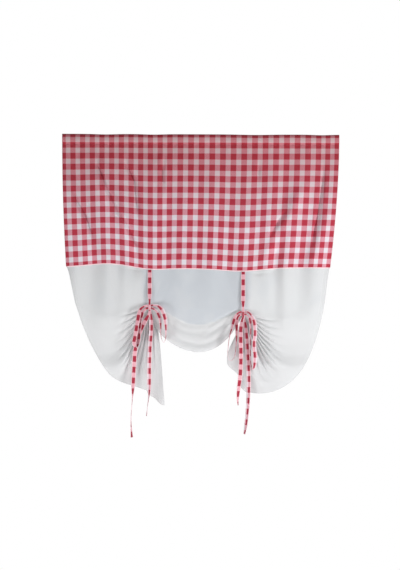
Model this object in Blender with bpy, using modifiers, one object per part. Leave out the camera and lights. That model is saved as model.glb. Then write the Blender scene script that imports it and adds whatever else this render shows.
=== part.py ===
# Tie-up curtain: a gingham top panel with a rod pocket, a voile panel sewn below it, and two pairs
# of gingham ties that lift the voile into a swag between two tails.
# The origin is the middle of the rod pocket's axis. +X is to the right, +Z is up, and the front is -Y.

import math

import bmesh
import bpy
from mathutils import Vector

# Gingham panel, hung
HUNG_WIDTH = 1.302
LEFT_DRAW_IN = 0.020
RIGHT_DRAW_IN = 0.040
DRAW_IN_POWER = 1.7
GINGHAM_DROP = 0.627
CHECK_REPEAT = 0.0508
FULLNESS = 1.07

# How far the seam hangs below or above a level line, and how wide each dip or rise is
LEFT_TIE_DIP = 0.009
LEFT_TIE_DIP_WIDTH = 0.10
RIGHT_TIE_DIP = 0.015
RIGHT_TIE_DIP_WIDTH = 0.13
MIDDLE_DIP = 0.006
MIDDLE_DIP_WIDTH = 0.20
LEFT_SEAM_RISE = 0.016
LEFT_SEAM_RISE_WIDTH = 0.13

# Rod pocket, open as round a thin rod
POCKET_HEIGHT = 0.044
POCKET_DEPTH = 0.018
POCKET_TURN_IN = 0.014
STITCH_BELOW_POCKET = 0.004
POCKET_OPENING_ANGLE = 62.0

# Cloth and hems
CLOTH = 0.001
HEM_CLOTH = 0.0018
SIDE_HEM = 0.016
SEAM_HEM = 0.014
SEAM_LAP = 0.010
GAP = 0.0004

# Voile panel, cut length below the seam
VOILE_LENGTH = 0.840
SWAG_FRONT_LENGTH = 0.400

# Where each pair of ties lifts the voile
LEFT_TIE_X = -0.237
RIGHT_TIE_X = 0.202
LEFT_LIFT_DROP = 0.186
RIGHT_LIFT_DROP = 0.214
BUNCH_HEIGHT = 0.040
GRIP_WIDTH = 0.016
PLEAT_PITCH = 0.0045
SWAG_PLEAT_PITCH = 0.0075

# The swag between the ties, and the tails below them
SWAG_SAG = 0.176
SWAG_FOLD_SAG = 0.068
WING_SAG = 0.094
LEFT_TAIL_DROP = 0.461
RIGHT_TAIL_DROP = 0.368
LEFT_TAIL_SHIFT = 0.072
RIGHT_TAIL_SHIFT = 0.011
# How fast the swag's lower edge falls away from each tie, 1 for a plain arc and less for a steeper fall
SWAG_LEFT_FALL = 0.5
SWAG_RIGHT_FALL = 0.9
SWAG_TOP_FALL = 1.4
SWAG_FRONT_EASE = 0.012
# Folds that run across the swag from tie to tie
SWAG_FOLDS = 2.5
SWAG_FOLD_DEPTH = 0.003

# The free side edges, as two curve handles each, in shares of the way across and down
LEFT_EDGE_HANDLES = ((0.13, 0.39), (0.35, 0.96))
RIGHT_EDGE_HANDLES = ((0.09, 0.38), (0.18, 1.116))
# The left edge is held up before its corner, and drops to it in two steps. In shares of the edge: where
# the rise starts and how long it is, and the same for each step, with its share of the drop.
LEFT_EDGE_LIFT = 0.052
LEFT_EDGE_RISE = (0.62, 0.26)
LEFT_EDGE_STEPS = [(0.895, 0.02, 0.4), (0.93, 0.06, 0.6)]

# The bottom hem swings sideways below each tie: how far, the power that sets where along the hem it
# swings most, where along it the swing starts and how soon it is full, and how far back it goes
HEM_SWING_GROWS = 0.2
LEFT_HEM_SWING = 0.029
LEFT_HEM_POWER = 0.45
LEFT_HEM_START = 0.06
LEFT_HEM_BACK = 0.012
RIGHT_HEM_SWING = -0.085
RIGHT_HEM_POWER = 1.4
RIGHT_HEM_START = 0.0
RIGHT_HEM_BACK = 0.0
# The right hem is tucked in again below its swing: how far, where along it, and over how much of it
RIGHT_HEM_TUCK = 0.033
RIGHT_HEM_TUCK_PLACE = 0.78
RIGHT_HEM_TUCK_WIDTH = 0.08

# Soft waves in the cloth
WAVES_BETWEEN_TIES = 3
LEFT_WAVE = 0.011
MIDDLE_WAVE = 0.004
RIGHT_WAVE = 0.009
WAVE_LEAN = 0.10
WAVE_TURN = 0.20
WING_RIPPLE = 0.011
WING_BELLY = 0.012
# Shares of the way from a tie to the free edge: where the pleats open out, where the cloth is no
# longer held in the bunch, and where the ripples start and are full
PLEATS_OPEN = 0.12
HELD_UNTIL = 0.05
LET_GO_OVER = 0.5
RIPPLE_START = 0.1
RIPPLE_FULL = 0.3

# Folds in the gingham that the lifted voile draws towards the ties. Each is its upper end, its lower
# end, its half width and how far it stands forward.
DRAWN_FOLDS = [
    ((-0.620, -0.183), (-0.485, -0.573), 0.030, 0.010),
    ((-0.490, -0.070), (-0.360, -0.430), 0.026, 0.008),
    ((-0.480, -0.174), (-0.268, -0.550), 0.028, 0.012),
    ((-0.186, -0.070), (-0.180, -0.300), 0.024, 0.006),
    ((0.480, -0.230), (0.320, -0.540), 0.030, 0.009),
    ((0.610, -0.330), (0.520, -0.580), 0.026, 0.007),
]

# Ties
TIE_WIDTH = 0.020
KNOT_WIDTH = 0.010
KNOT_LAYER = 0.0026
# How far from the knot's middle the layers lie flat, and where a tie starts and ends opening out
KNOT_FLAT_REACH = 0.016
KNOT_REACH = 0.022
KNOT_OPENS_OVER = 0.045

PLEAT_LEGS = 5
FRONT_LEG_ROWS = 9
LEG_ROWS = 5
UPPER_ROWS = 6
WING_COLUMNS = 11
COLUMN_SPREAD = 1.15
SWAG_COLUMNS = 15
POCKET_ROWS = 8
PANEL_ROWS = 8
ROUTE_STEPS = 3

# Directions in which a tie's width may lie
SIDE = (1.0, 0.0, 0.0)
DEEP = (0.0, 1.0, 0.0)
UP = (0.0, 0.0, 1.0)


def mix(a, b, share):
    return a + (b - a) * share


def smooth(value):
    share = min(max(value, 0.0), 1.0)
    return share * share * (3.0 - 2.0 * share)


def hump(offset, spread):
    return math.exp(-(offset / spread) ** 2)


# The hung outline of the gingham panel

STITCH_Z = -POCKET_HEIGHT / 2 - STITCH_BELOW_POCKET
SEAM_Z = POCKET_HEIGHT / 2 - GINGHAM_DROP


def side_x(side, z):
    drawn = LEFT_DRAW_IN if side < 0 else RIGHT_DRAW_IN
    share = min(max((STITCH_Z - z) / (STITCH_Z - SEAM_Z), 0.0), 1.0)
    return side * (HUNG_WIDTH / 2 - drawn * share ** DRAW_IN_POWER)


def seam_z(x):
    left_dip = LEFT_TIE_DIP * hump(x - LEFT_TIE_X, LEFT_TIE_DIP_WIDTH)
    right_dip = RIGHT_TIE_DIP * hump(x - RIGHT_TIE_X, RIGHT_TIE_DIP_WIDTH)
    middle_dip = MIDDLE_DIP * hump(x - (LEFT_TIE_X + RIGHT_TIE_X) / 2, MIDDLE_DIP_WIDTH)
    left_rise = LEFT_SEAM_RISE * hump(x - (LEFT_TIE_X + side_x(-1, SEAM_Z)) / 2, LEFT_SEAM_RISE_WIDTH)
    return SEAM_Z - left_dip - right_dip - middle_dip + left_rise


def wave(x, z):
    # Soft waves run upright in the middle, and lean in towards the ties on each side. The cloth comes
    # forward where a tie is sewn on.
    top = STITCH_Z - POCKET_TURN_IN
    share = min(max((top - z) / (top - SEAM_Z), 0.0), 1.0)
    left = smooth((LEFT_TIE_X - TIE_WIDTH - x) / WAVE_TURN)
    right = smooth((x - RIGHT_TIE_X - TIE_WIDTH) / WAVE_TURN)
    lean = WAVE_LEAN * (left - right) * share
    size = MIDDLE_WAVE + (LEFT_WAVE - MIDDLE_WAVE) * left + (RIGHT_WAVE - MIDDLE_WAVE) * right
    length = (RIGHT_TIE_X - LEFT_TIE_X) / WAVES_BETWEEN_TIES
    turn = 2.0 * math.pi * (x - LEFT_TIE_X - lean) / length
    slow = 0.35 * (math.cos(0.6 * turn) - 1.0)
    return -size * share ** 0.8 * (math.cos(turn) + slow) - drawn_folds(x, z) * smooth(share / 0.12)


def drawn_folds(x, z):
    # Each fold is a soft ridge along its line, and fades out past both its ends.
    forward = 0.0
    for (top_x, top_z), (low_x, low_z), width, height in DRAWN_FOLDS:
        share = (top_z - z) / (top_z - low_z)
        fade = smooth((share + 0.15) / 0.30) * smooth((1.15 - share) / 0.30)
        forward += height * fade * hump(x - mix(top_x, low_x, share), width)
    return forward


def layer_y(x, z, depth):
    # A layer that lies the given distance behind the gingham, measured square to the cloth.
    step = 0.002
    across = (wave(x + step, z) - wave(x - step, z)) / (2.0 * step)
    down = (wave(x, z + step) - wave(x, z - step)) / (2.0 * step)
    return wave(x, z) + depth * math.sqrt(1.0 + across ** 2 + down ** 2)


VOILE_DEPTH = (HEM_CLOTH + CLOTH) / 2 + GAP


# Gingham panel with its rod pocket

def gingham_profile():
    # Each row is a height, a depth behind the panel, and the share of the panel's drop.
    rows = []
    turned = CLOTH + GAP
    rows.append((STITCH_Z - POCKET_TURN_IN, turned, 0.0))
    rows.append((STITCH_Z, turned, 0.0))
    for step in range(POCKET_ROWS):
        way_round = step / (POCKET_ROWS - 1)
        angle = math.radians(mix(-POCKET_OPENING_ANGLE, 180.0 + POCKET_OPENING_ANGLE, way_round))
        height = POCKET_HEIGHT / 2 * math.sin(angle)
        rows.append((height, POCKET_DEPTH / 2 * math.cos(angle), 0.0))
    rows.append((STITCH_Z, 0.0, 0.0))
    rows.append((STITCH_Z - POCKET_TURN_IN - GAP, 0.0, 0.0))
    for step in range(1, PANEL_ROWS):
        rows.append((None, 0.0, step / PANEL_ROWS))
    rows.append((None, 0.0, 1.0 - SEAM_HEM / (STITCH_Z - SEAM_Z)))
    rows.append((None, 0.0, 1.0))
    return rows


def cloth_columns():
    # Both panels have their columns at the same places along the seam. A column is a part of the
    # curtain, left wing, swag or right wing, and a place within it, 0 at the tie in a wing.
    wings = []
    for region in ("left", "right"):
        start, end = region_span(region)
        inner = [(step / WING_COLUMNS) ** COLUMN_SPREAD for step in range(WING_COLUMNS)]
        wings.append(inner + [1.0 - SIDE_HEM / abs(end - start), 1.0])
    left = [("left", share) for share in reversed(wings[0])]
    swag = [("swag", step / SWAG_COLUMNS) for step in range(SWAG_COLUMNS + 1)]
    right = [("right", share) for share in wings[1]]
    return left + swag + right


def region_span(region):
    # Where a part of the curtain starts and ends along the seam, clear of the ties' grip.
    if region == "left":
        return LEFT_TIE_X - GRIP_WIDTH / 2, side_x(-1, SEAM_Z)
    if region == "right":
        return RIGHT_TIE_X + GRIP_WIDTH / 2, side_x(1, SEAM_Z)
    return LEFT_TIE_X + GRIP_WIDTH / 2, RIGHT_TIE_X - GRIP_WIDTH / 2


def seam_share(column):
    # How far along the whole seam a column lies, from its left end.
    region, share = column
    x = mix(*region_span(region), share)
    return (x - side_x(-1, SEAM_Z)) / (side_x(1, SEAM_Z) - side_x(-1, SEAM_Z))


def gingham_point(share, row):
    height, depth, drop = row
    if height is None:
        guess = mix(STITCH_Z, SEAM_Z, drop)
        x = mix(side_x(-1, guess), side_x(1, guess), share)
        z = mix(STITCH_Z, seam_z(x), drop)
    else:
        z = height
        x = mix(side_x(-1, z), side_x(1, z), share)
    return Vector((x, wave(x, z) + depth, z))


# Voile panel

def voile_rows():
    # Each row is a length of cloth below the seam and a place in the pleats that the ties bunch up.
    rows = [(0.0, -1.0), (SEAM_LAP, -1.0)]
    for step in range(1, UPPER_ROWS):
        length = mix(SEAM_LAP, UPPER_LENGTH, step / (UPPER_ROWS - 1))
        rows.append((length, 0.0 if step == UPPER_ROWS - 1 else -1.0))
    spare = (VOILE_LENGTH - SWAG_FRONT_LENGTH) / (PLEAT_LEGS - 1)
    for leg in range(PLEAT_LEGS):
        start = UPPER_LENGTH if leg == 0 else SWAG_FRONT_LENGTH + spare * (leg - 1)
        reach = SWAG_FRONT_LENGTH - UPPER_LENGTH if leg == 0 else spare
        steps = FRONT_LEG_ROWS if leg == 0 else LEG_ROWS
        for step in range(1, steps + 1):
            rows.append((start + reach * step / steps, leg + step / steps))
    return rows


def pleat_depth(pleat):
    # Pleats lie one behind the other, with a round turn at each fold.
    if pleat < 0.5:
        return 0.0
    return pleat - 0.5 + math.sin(2.0 * math.pi * pleat) / (2.0 * math.pi)


UPPER_LENGTH = min(LEFT_LIFT_DROP, RIGHT_LIFT_DROP)
BUNCH_DEPTH = (PLEAT_LEGS - 0.5) * PLEAT_PITCH
BUNCH_FRONT_Y = -BUNCH_DEPTH / 2


def lift_point(side):
    if side < 0:
        return Vector((LEFT_TIE_X, 0.0, SEAM_Z - LEFT_LIFT_DROP))
    return Vector((RIGHT_TIE_X, 0.0, SEAM_Z - RIGHT_LIFT_DROP))


def seam_start(x):
    z = seam_z(x)
    return Vector((x, layer_y(x, z, VOILE_DEPTH), z))


def outer_edge(side):
    # The free side edge, from the seam's end round to the tail's lowest corner.
    start = Vector((side_x(side, SEAM_Z), 0.0, seam_z(side_x(side, SEAM_Z))))
    lift = lift_point(side)
    if side < 0:
        end = lift + Vector((LEFT_TAIL_SHIFT, 0.0, -LEFT_TAIL_DROP))
        shares = LEFT_EDGE_HANDLES
    else:
        end = lift + Vector((RIGHT_TAIL_SHIFT, 0.0, -RIGHT_TAIL_DROP))
        shares = RIGHT_EDGE_HANDLES
    span = end - start
    handles = [start + Vector((span.x * a, 0.0, span.z * b)) for a, b in shares]
    return bezier_by_length([start, handles[0], handles[1], end])


def bezier_by_length(points, steps=60):
    places = []
    for step in range(steps + 1):
        t = step / steps
        weights = ((1 - t) ** 3, 3 * t * (1 - t) ** 2, 3 * t * t * (1 - t), t ** 3)
        places.append(sum((p * w for p, w in zip(points, weights)), Vector((0.0, 0.0, 0.0))))
    lengths = [0.0]
    for a, b in zip(places, places[1:]):
        lengths.append(lengths[-1] + (b - a).length)
    return places, lengths


def along(edge, share):
    places, lengths = edge
    goal = share * lengths[-1]
    for index in range(1, len(places)):
        if lengths[index] >= goal - 1e-9:
            part = (goal - lengths[index - 1]) / (lengths[index] - lengths[index - 1])
            return places[index - 1].lerp(places[index], part)
    return places[-1].copy()


def left_edge_lift(share):
    start, reach = LEFT_EDGE_RISE
    held = smooth((share - start) / reach)
    for start, reach, drop in LEFT_EDGE_STEPS:
        held -= drop * smooth((share - start) / reach)
    return LEFT_EDGE_LIFT * held


def tie_line(side, x, length, pleat, zigzag):
    # The cloth that runs down at a tie: straight from the seam, then bunched in pleats.
    lift = lift_point(side)
    if pleat <= 0.0:
        top = Vector((x, BUNCH_FRONT_Y, lift.z + BUNCH_HEIGHT / 2 * zigzag))
        return seam_start(x).lerp(top, length / UPPER_LENGTH)
    point = Vector((x, 0.0, lift.z))
    point.y = BUNCH_FRONT_Y + PLEAT_PITCH * pleat_depth(pleat)
    point.z += BUNCH_HEIGHT / 2 * math.cos(math.pi * pleat) * zigzag
    return point


def hem_swing(side, share):
    # How far the bottom hem swings sideways and back, at a share of the way from tie to free edge.
    if side < 0:
        swing, power, start, back = LEFT_HEM_SWING, LEFT_HEM_POWER, LEFT_HEM_START, LEFT_HEM_BACK
    else:
        swing, power, start, back = RIGHT_HEM_SWING, RIGHT_HEM_POWER, RIGHT_HEM_START, RIGHT_HEM_BACK
    bow = math.sin(math.pi * share ** power) * smooth((share - start) / HEM_SWING_GROWS)
    tuck = RIGHT_HEM_TUCK * hump(share - RIGHT_HEM_TUCK_PLACE, RIGHT_HEM_TUCK_WIDTH) if side > 0 else 0.0
    return swing * bow + tuck, back * bow


def wing_point(side, edge, share, length, pleat):
    # share is 0 at the tie and 1 at the free side edge.
    grip_x = lift_point(side).x + side * GRIP_WIDTH / 2
    tie = tie_line(side, grip_x, length, pleat, 1.0 - smooth(share / PLEATS_OPEN))
    rim = along(edge, length / VOILE_LENGTH)
    if side < 0:
        rim.z += left_edge_lift(length / VOILE_LENGTH)
    low = max(length - UPPER_LENGTH, 0.0) / (VOILE_LENGTH - UPPER_LENGTH)
    high = min(length / UPPER_LENGTH, 1.0)
    sag = WING_SAG * math.sin(math.pi * (0.15 + 0.85 * low)) * high
    x = mix(tie.x, rim.x, share)
    z = mix(tie.z, rim.z, share) - 4.0 * sag * share * (1.0 - share)
    swing, back = hem_swing(side, share)
    x += swing * low ** 4
    z += (1.0 - high) ** 2 * (seam_z(x) - mix(tie.z, rim.z, share))
    hung = seam_start(x).y * (1.0 - smooth(length / (1.5 * UPPER_LENGTH)))
    held = (1.0 - smooth((share - HELD_UNTIL) / LET_GO_OVER)) * smooth(length / (0.5 * UPPER_LENGTH))
    outward = smooth((share - RIPPLE_START - RIPPLE_FULL) / (1.0 - RIPPLE_START - RIPPLE_FULL))
    ripple = WING_RIPPLE * smooth((share - RIPPLE_START) / RIPPLE_FULL) * (1.0 - 0.5 * outward)
    folds = -ripple * math.cos(math.pi * max(pleat, 0.0)) * high ** 2
    belly = -WING_BELLY * math.sin(math.pi * share) * math.sin(math.pi * length / VOILE_LENGTH)
    return Vector((x, mix(hung + folds + belly, tie.y, held) + back * low ** 4, z))


def swag_point(share, length, pleat):
    x = mix(*region_span("swag"), share)
    middle = mix(lift_point(-1).z, lift_point(1).z, share)
    droop = 4.0 * share * (1.0 - share)
    pitch = mix(PLEAT_PITCH, SWAG_PLEAT_PITCH, droop)
    fall = mix(SWAG_LEFT_FALL, SWAG_RIGHT_FALL, share)
    bottom = middle - BUNCH_HEIGHT / 2 - SWAG_SAG * droop ** fall
    fold_top = middle + BUNCH_HEIGHT / 2 - (SWAG_FOLD_SAG + BUNCH_HEIGHT / 2) * droop ** SWAG_TOP_FALL
    front_top = middle + BUNCH_HEIGHT / 2 - SWAG_FRONT_EASE * droop
    front_y = BUNCH_FRONT_Y * (1.0 - 0.5 * droop)
    if pleat <= 0.0:
        return seam_start(x).lerp(Vector((x, front_y, front_top)), length / UPPER_LENGTH)
    top = front_top if pleat < 1.0 else fold_top
    z = (top + bottom) / 2 + (top - bottom) / 2 * math.cos(math.pi * pleat)
    # The folds from tie to tie go through every layer alike, so that no layer meets the next.
    down = (fold_top - z) / (fold_top - bottom)
    depth = SWAG_FOLD_DEPTH * smooth(down / 0.2) * smooth(2.0 * droop)
    fold = depth * math.sin(2.0 * math.pi * SWAG_FOLDS * down)
    return Vector((x, front_y + pitch * pleat_depth(pleat) - fold, z))


# Ties. Each route runs in metres from the middle of its knot, as x, y and z and the way its width lies.
# In the knot they lie flat in layers, from the rear tie against the voile to the front tie's wrap.

STRAP_GAP = CLOTH + 2.0 * GAP
WRAP_TOP = 0.024
REAR_STRAP_CLEAR = 0.0012
WRAP_CLEAR = 0.004
REAR_RISE_LAYER = -0.5 * KNOT_LAYER
REAR_TAIL_LAYER = -1.4 * KNOT_LAYER
FRONT_TAIL_LAYER = -2.3 * KNOT_LAYER
FRONT_RISE_LAYER = -3.3 * KNOT_LAYER
WRAP_LAYER = -4.4 * KNOT_LAYER


def strap_from_seam(side, front):
    start = seam_start(lift_point(side).x)
    start.y += -STRAP_GAP if front else STRAP_GAP + 0.5 * GAP
    return start - knot_point(side)


def knot_point(side):
    return lift_point(side) + Vector((0.0, BUNCH_FRONT_Y - CLOTH / 2, 0.0))


def front_strap(side):
    start = strap_from_seam(side, True)
    return [
        (0.0, start.y, start.z - 0.001, (-1.0, 0.0, 0.0)),
        (0.0, mix(start.y, WRAP_LAYER, 0.35), mix(start.z, WRAP_TOP, 0.3), (-1.0, 0.0, 0.0)),
        (0.0, mix(start.y, WRAP_LAYER, 0.75), mix(start.z, WRAP_TOP, 0.7), (-1.0, 0.0, 0.0)),
        (0.0, WRAP_LAYER, WRAP_TOP, (-1.0, 0.0, 0.0)),
    ]


def front_knot():
    return [
        (0.0, WRAP_LAYER - 0.0010, 0.006, (-1.0, 0.0, 0.0)),
        (0.0, WRAP_LAYER, -0.010, (-1.0, 0.0, 0.0)),
        (0.0, (WRAP_LAYER + FRONT_RISE_LAYER) / 2, -0.0165, (-1.0, 0.0, 0.0)),
        (0.0, FRONT_RISE_LAYER, -0.010, (-1.0, 0.0, 0.0)),
        (-0.001, FRONT_RISE_LAYER, 0.0, (-1.0, 0.0, -0.15)),
        (-0.006, FRONT_RISE_LAYER, 0.006, (-0.7, 0.0, -0.7)),
    ]


def rear_strap(side):
    start = strap_from_seam(side, False)
    back = BUNCH_DEPTH + CLOTH + GAP + REAR_STRAP_CLEAR
    under = -BUNCH_HEIGHT / 2 - HEM_CLOTH - GAP - WRAP_CLEAR
    return [
        (0.0, start.y, start.z - 0.001, (-1.0, 0.0, 0.0)),
        (0.0, mix(start.y, back, 0.5), mix(start.z, 0.0, 0.35), (-1.0, 0.0, 0.0)),
        (0.0, back, 0.045, (-1.0, 0.0, 0.0)),
        (0.0, back + 0.001, 0.0, (-1.0, 0.0, 0.0)),
        (0.0, back + 0.001, -BUNCH_HEIGHT / 2, (-1.0, 0.0, 0.0)),
        (0.0, back * 0.7, under, (-1.0, 0.0, 0.0)),
        (0.0, back * 0.25, under, (-1.0, 0.0, 0.0)),
        (0.0, REAR_RISE_LAYER + 0.0004, -BUNCH_HEIGHT / 2, (-1.0, 0.0, 0.0)),
    ]


def rear_knot():
    return [
        (0.001, REAR_RISE_LAYER, -0.004, (-1.0, 0.0, 0.1)),
        (0.006, REAR_RISE_LAYER, 0.007, (-0.7, 0.0, 0.7)),
    ]


LEFT_FRONT_LOOP = [
    (-0.022, -0.0125, 0.005, (0.0, 0.0, -1.0)),
    (-0.044, -0.024, -0.014, (0.7, 0.0, -0.7)),
    (-0.056, -0.034, -0.070, (1.0, -0.35, 0.0)),
    (-0.065, -0.038, -0.127, (1.0, -0.2, 0.0)),
    (-0.071, -0.040, -0.165, (1.0, -0.3, 0.0)),
    (-0.062, -0.034, -0.190, (0.5, -0.9, 0.0)),
    (-0.052, -0.028, -0.165, (0.8, -0.6, 0.0)),
    (-0.047, -0.026, -0.125, (0.7, -0.7, 0.0)),
    (-0.044, -0.024, -0.070, (0.8, -0.6, 0.0)),
    (-0.033, -0.016, -0.026, (0.8, -0.1, -0.6)),
    (-0.018, -0.0085, -0.009, (0.2, 0.0, -1.0)),
    (-0.005, FRONT_TAIL_LAYER, -0.004, (-0.3, 0.0, -0.9)),
]

LEFT_FRONT_TAIL = [
    (0.0004, FRONT_TAIL_LAYER, -0.013, (-1.0, 0.0, -0.1)),
    (-0.005, -0.0100, -0.036, (-1.0, 0.0, 0.0)),
    (-0.024, -0.0130, -0.072, (-1.0, 0.0, 0.0)),
    (-0.048, -0.0150, -0.125, (-1.0, 0.0, 0.0)),
    (-0.065, -0.0155, -0.190, (-1.0, -0.1, 0.0)),
    (-0.071, -0.017, -0.270, (-1.0, -0.1, 0.0)),
    (-0.075, -0.017, -0.355, (-1.0, -0.5, 0.0)),
    (-0.079, -0.016, -0.430, (-0.15, -1.0, 0.0)),
    (-0.085, -0.015, -0.530, (-0.1, -1.0, 0.0)),
    (-0.081, -0.014, -0.611, (-0.5, -0.8, 0.0)),
]

LEFT_REAR_LOOP = [
    (0.020, -0.0055, 0.010, UP),
    (0.040, -0.014, 0.006, (0.3, 0.0, 1.0)),
    (0.060, -0.021, -0.014, (0.8, 0.0, 0.6)),
    (0.073, -0.025, -0.050, (1.0, 0.3, 0.0)),
    (0.077, -0.026, -0.090, (0.6, 0.8, 0.0)),
    (0.077, -0.026, -0.135, (0.2, 1.0, 0.0)),
    (0.068, -0.025, -0.164, DEEP),
    (0.055, -0.024, -0.140, (0.1, 1.0, 0.0)),
    (0.053, -0.023, -0.090, (0.4, 0.9, 0.0)),
    (0.048, -0.020, -0.048, (0.8, 0.6, 0.2)),
    (0.034, -0.013, -0.019, (0.6, 0.2, 0.8)),
    (0.018, -0.0065, -0.007, (0.1, 0.0, 1.0)),
    (0.006, REAR_TAIL_LAYER, -0.003, (-0.5, 0.0, 0.8)),
]

LEFT_REAR_TAIL = [
    (0.002, REAR_TAIL_LAYER, -0.016, (-1.0, 0.0, 0.0)),
    (0.007, -0.0060, -0.046, (-1.0, 0.0, 0.0)),
    (0.008, -0.0125, -0.110, (-1.0, 0.1, 0.0)),
    (0.003, -0.019, -0.180, (-1.0, 0.2, 0.0)),
    (0.000, -0.021, -0.270, (-1.0, 0.1, 0.0)),
    (0.000, -0.021, -0.350, (-1.0, 0.3, 0.0)),
    (-0.001, -0.020, -0.410, (-0.4, 0.9, 0.0)),
    (-0.007, -0.019, -0.460, (-0.1, 1.0, 0.0)),
    (-0.012, -0.018, -0.510, (-0.2, 1.0, 0.0)),
]

RIGHT_FRONT_LOOP = [
    (-0.020, -0.0125, 0.004, (0.0, 0.0, -1.0)),
    (-0.038, -0.018, -0.018, (0.6, -0.2, -0.7)),
    (-0.052, -0.022, -0.068, (0.5, -0.9, 0.0)),
    (-0.064, -0.024, -0.112, (0.15, -1.0, 0.0)),
    (-0.070, -0.024, -0.165, (0.1, -1.0, 0.0)),
    (-0.070, -0.023, -0.205, (0.0, -1.0, 0.0)),
    (-0.056, -0.022, -0.221, (0.0, -1.0, 0.0)),
    (-0.039, -0.021, -0.200, (0.1, -1.0, 0.0)),
    (-0.032, -0.019, -0.145, (0.2, -1.0, 0.0)),
    (-0.030, -0.017, -0.075, (0.6, -0.8, 0.0)),
    (-0.029, -0.014, -0.028, (0.9, -0.2, -0.4)),
    (-0.018, -0.0088, -0.009, (0.5, 0.0, -0.8)),
    (-0.005, FRONT_TAIL_LAYER, -0.005, (-0.3, 0.0, -0.9)),
]

RIGHT_FRONT_TAIL = [
    (0.0004, FRONT_TAIL_LAYER, -0.014, (-1.0, 0.0, -0.1)),
    (-0.006, -0.0120, -0.036, (-1.0, 0.0, 0.0)),
    (-0.011, -0.029, -0.075, (-1.0, 0.0, 0.0)),
    (-0.011, -0.038, -0.130, (-1.0, 0.0, 0.0)),
    (-0.010, -0.040, -0.220, (-1.0, 0.0, 0.0)),
    (-0.013, -0.037, -0.290, (-1.0, 0.0, 0.0)),
    (-0.020, -0.034, -0.350, (-1.0, -0.5, 0.0)),
    (-0.024, -0.031, -0.400, (-0.5, -0.9, 0.0)),
    (-0.022, -0.029, -0.430, (-0.2, -1.0, 0.0)),
]

RIGHT_REAR_LOOP = [
    (0.018, -0.0055, 0.009, UP),
    (0.036, -0.013, -0.004, (0.5, 0.0, 0.8)),
    (0.052, -0.021, -0.038, (1.0, 0.3, 0.2)),
    (0.057, -0.027, -0.090, (0.9, 0.5, 0.0)),
    (0.052, -0.031, -0.145, (0.9, 0.4, 0.0)),
    (0.057, -0.034, -0.200, (1.0, 0.2, 0.0)),
    (0.054, -0.036, -0.240, (0.8, 0.6, 0.0)),
    (0.046, -0.031, -0.262, (0.3, 0.9, 0.0)),
    (0.037, -0.024, -0.235, (0.3, 0.9, 0.0)),
    (0.034, -0.021, -0.150, (0.4, 1.0, 0.0)),
    (0.036, -0.019, -0.070, (0.5, 0.9, 0.0)),
    (0.031, -0.014, -0.020, (0.7, 0.2, 0.7)),
    (0.018, -0.0068, -0.006, (0.1, 0.0, 1.0)),
    (0.006, REAR_TAIL_LAYER, -0.003, (-0.5, 0.0, 0.8)),
]

RIGHT_REAR_TAIL = [
    (0.002, REAR_TAIL_LAYER, -0.015, (-1.0, 0.0, 0.0)),
    (0.009, -0.0055, -0.048, (-1.0, 0.0, 0.0)),
    (0.016, -0.0060, -0.110, (-1.0, 0.1, 0.0)),
    (0.022, -0.0070, -0.200, (-1.0, 0.1, 0.0)),
    (0.027, -0.0080, -0.300, (-1.0, 0.2, 0.0)),
    (0.026, -0.0100, -0.380, (-0.9, 0.4, 0.0)),
    (0.022, -0.0120, -0.450, (-0.8, 0.6, 0.0)),
    (0.015, -0.0120, -0.520, (-0.7, 0.7, 0.0)),
    (0.008, -0.0110, -0.566, (-0.4, 0.9, 0.0)),
]


def smooth_route(stations):
    # Catmull-Rom through the stations, over place and width direction together.
    rows = [list(place) + list(way) for *place, way in stations]
    rows = [rows[0]] + rows + [rows[-1]]
    route = []
    for index in range(1, len(rows) - 2):
        before, here, there, after = rows[index - 1:index + 3]
        for step in range(ROUTE_STEPS):
            t = step / ROUTE_STEPS
            route.append([
                0.5 * (2 * b + (c - a) * t + (2 * a - 5 * b + 4 * c - d) * t * t
                       + (3 * b - a - 3 * c + d) * t ** 3)
                for a, b, c, d in zip(before, here, there, after)
            ])
    route.append(rows[-1])
    return route


def ribbon_edges(stations, side):
    # Both long edges of a tie, which narrows where it is drawn tight in the knot.
    route = smooth_route(stations)
    places = [Vector(row[:3]) for row in route]
    edges = []
    for index, row in enumerate(route):
        ahead = places[min(index + 1, len(places) - 1)]
        behind = places[max(index - 1, 0)]
        run = (ahead - behind).normalized()
        way = Vector(row[3:])
        way = (way - run * way.dot(run)).normalized()
        off_knot = Vector((places[index].x, 0.0, places[index].z)).length
        way.y *= smooth((off_knot - KNOT_FLAT_REACH) / KNOT_FLAT_REACH)
        half = mix(KNOT_WIDTH, TIE_WIDTH, smooth((off_knot - KNOT_REACH) / KNOT_OPENS_OVER)) / 2
        middle = places[index] + knot_point(side)
        edges.append((middle - way * half, middle + way * half))
    return edges


# Meshes and materials

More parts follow.
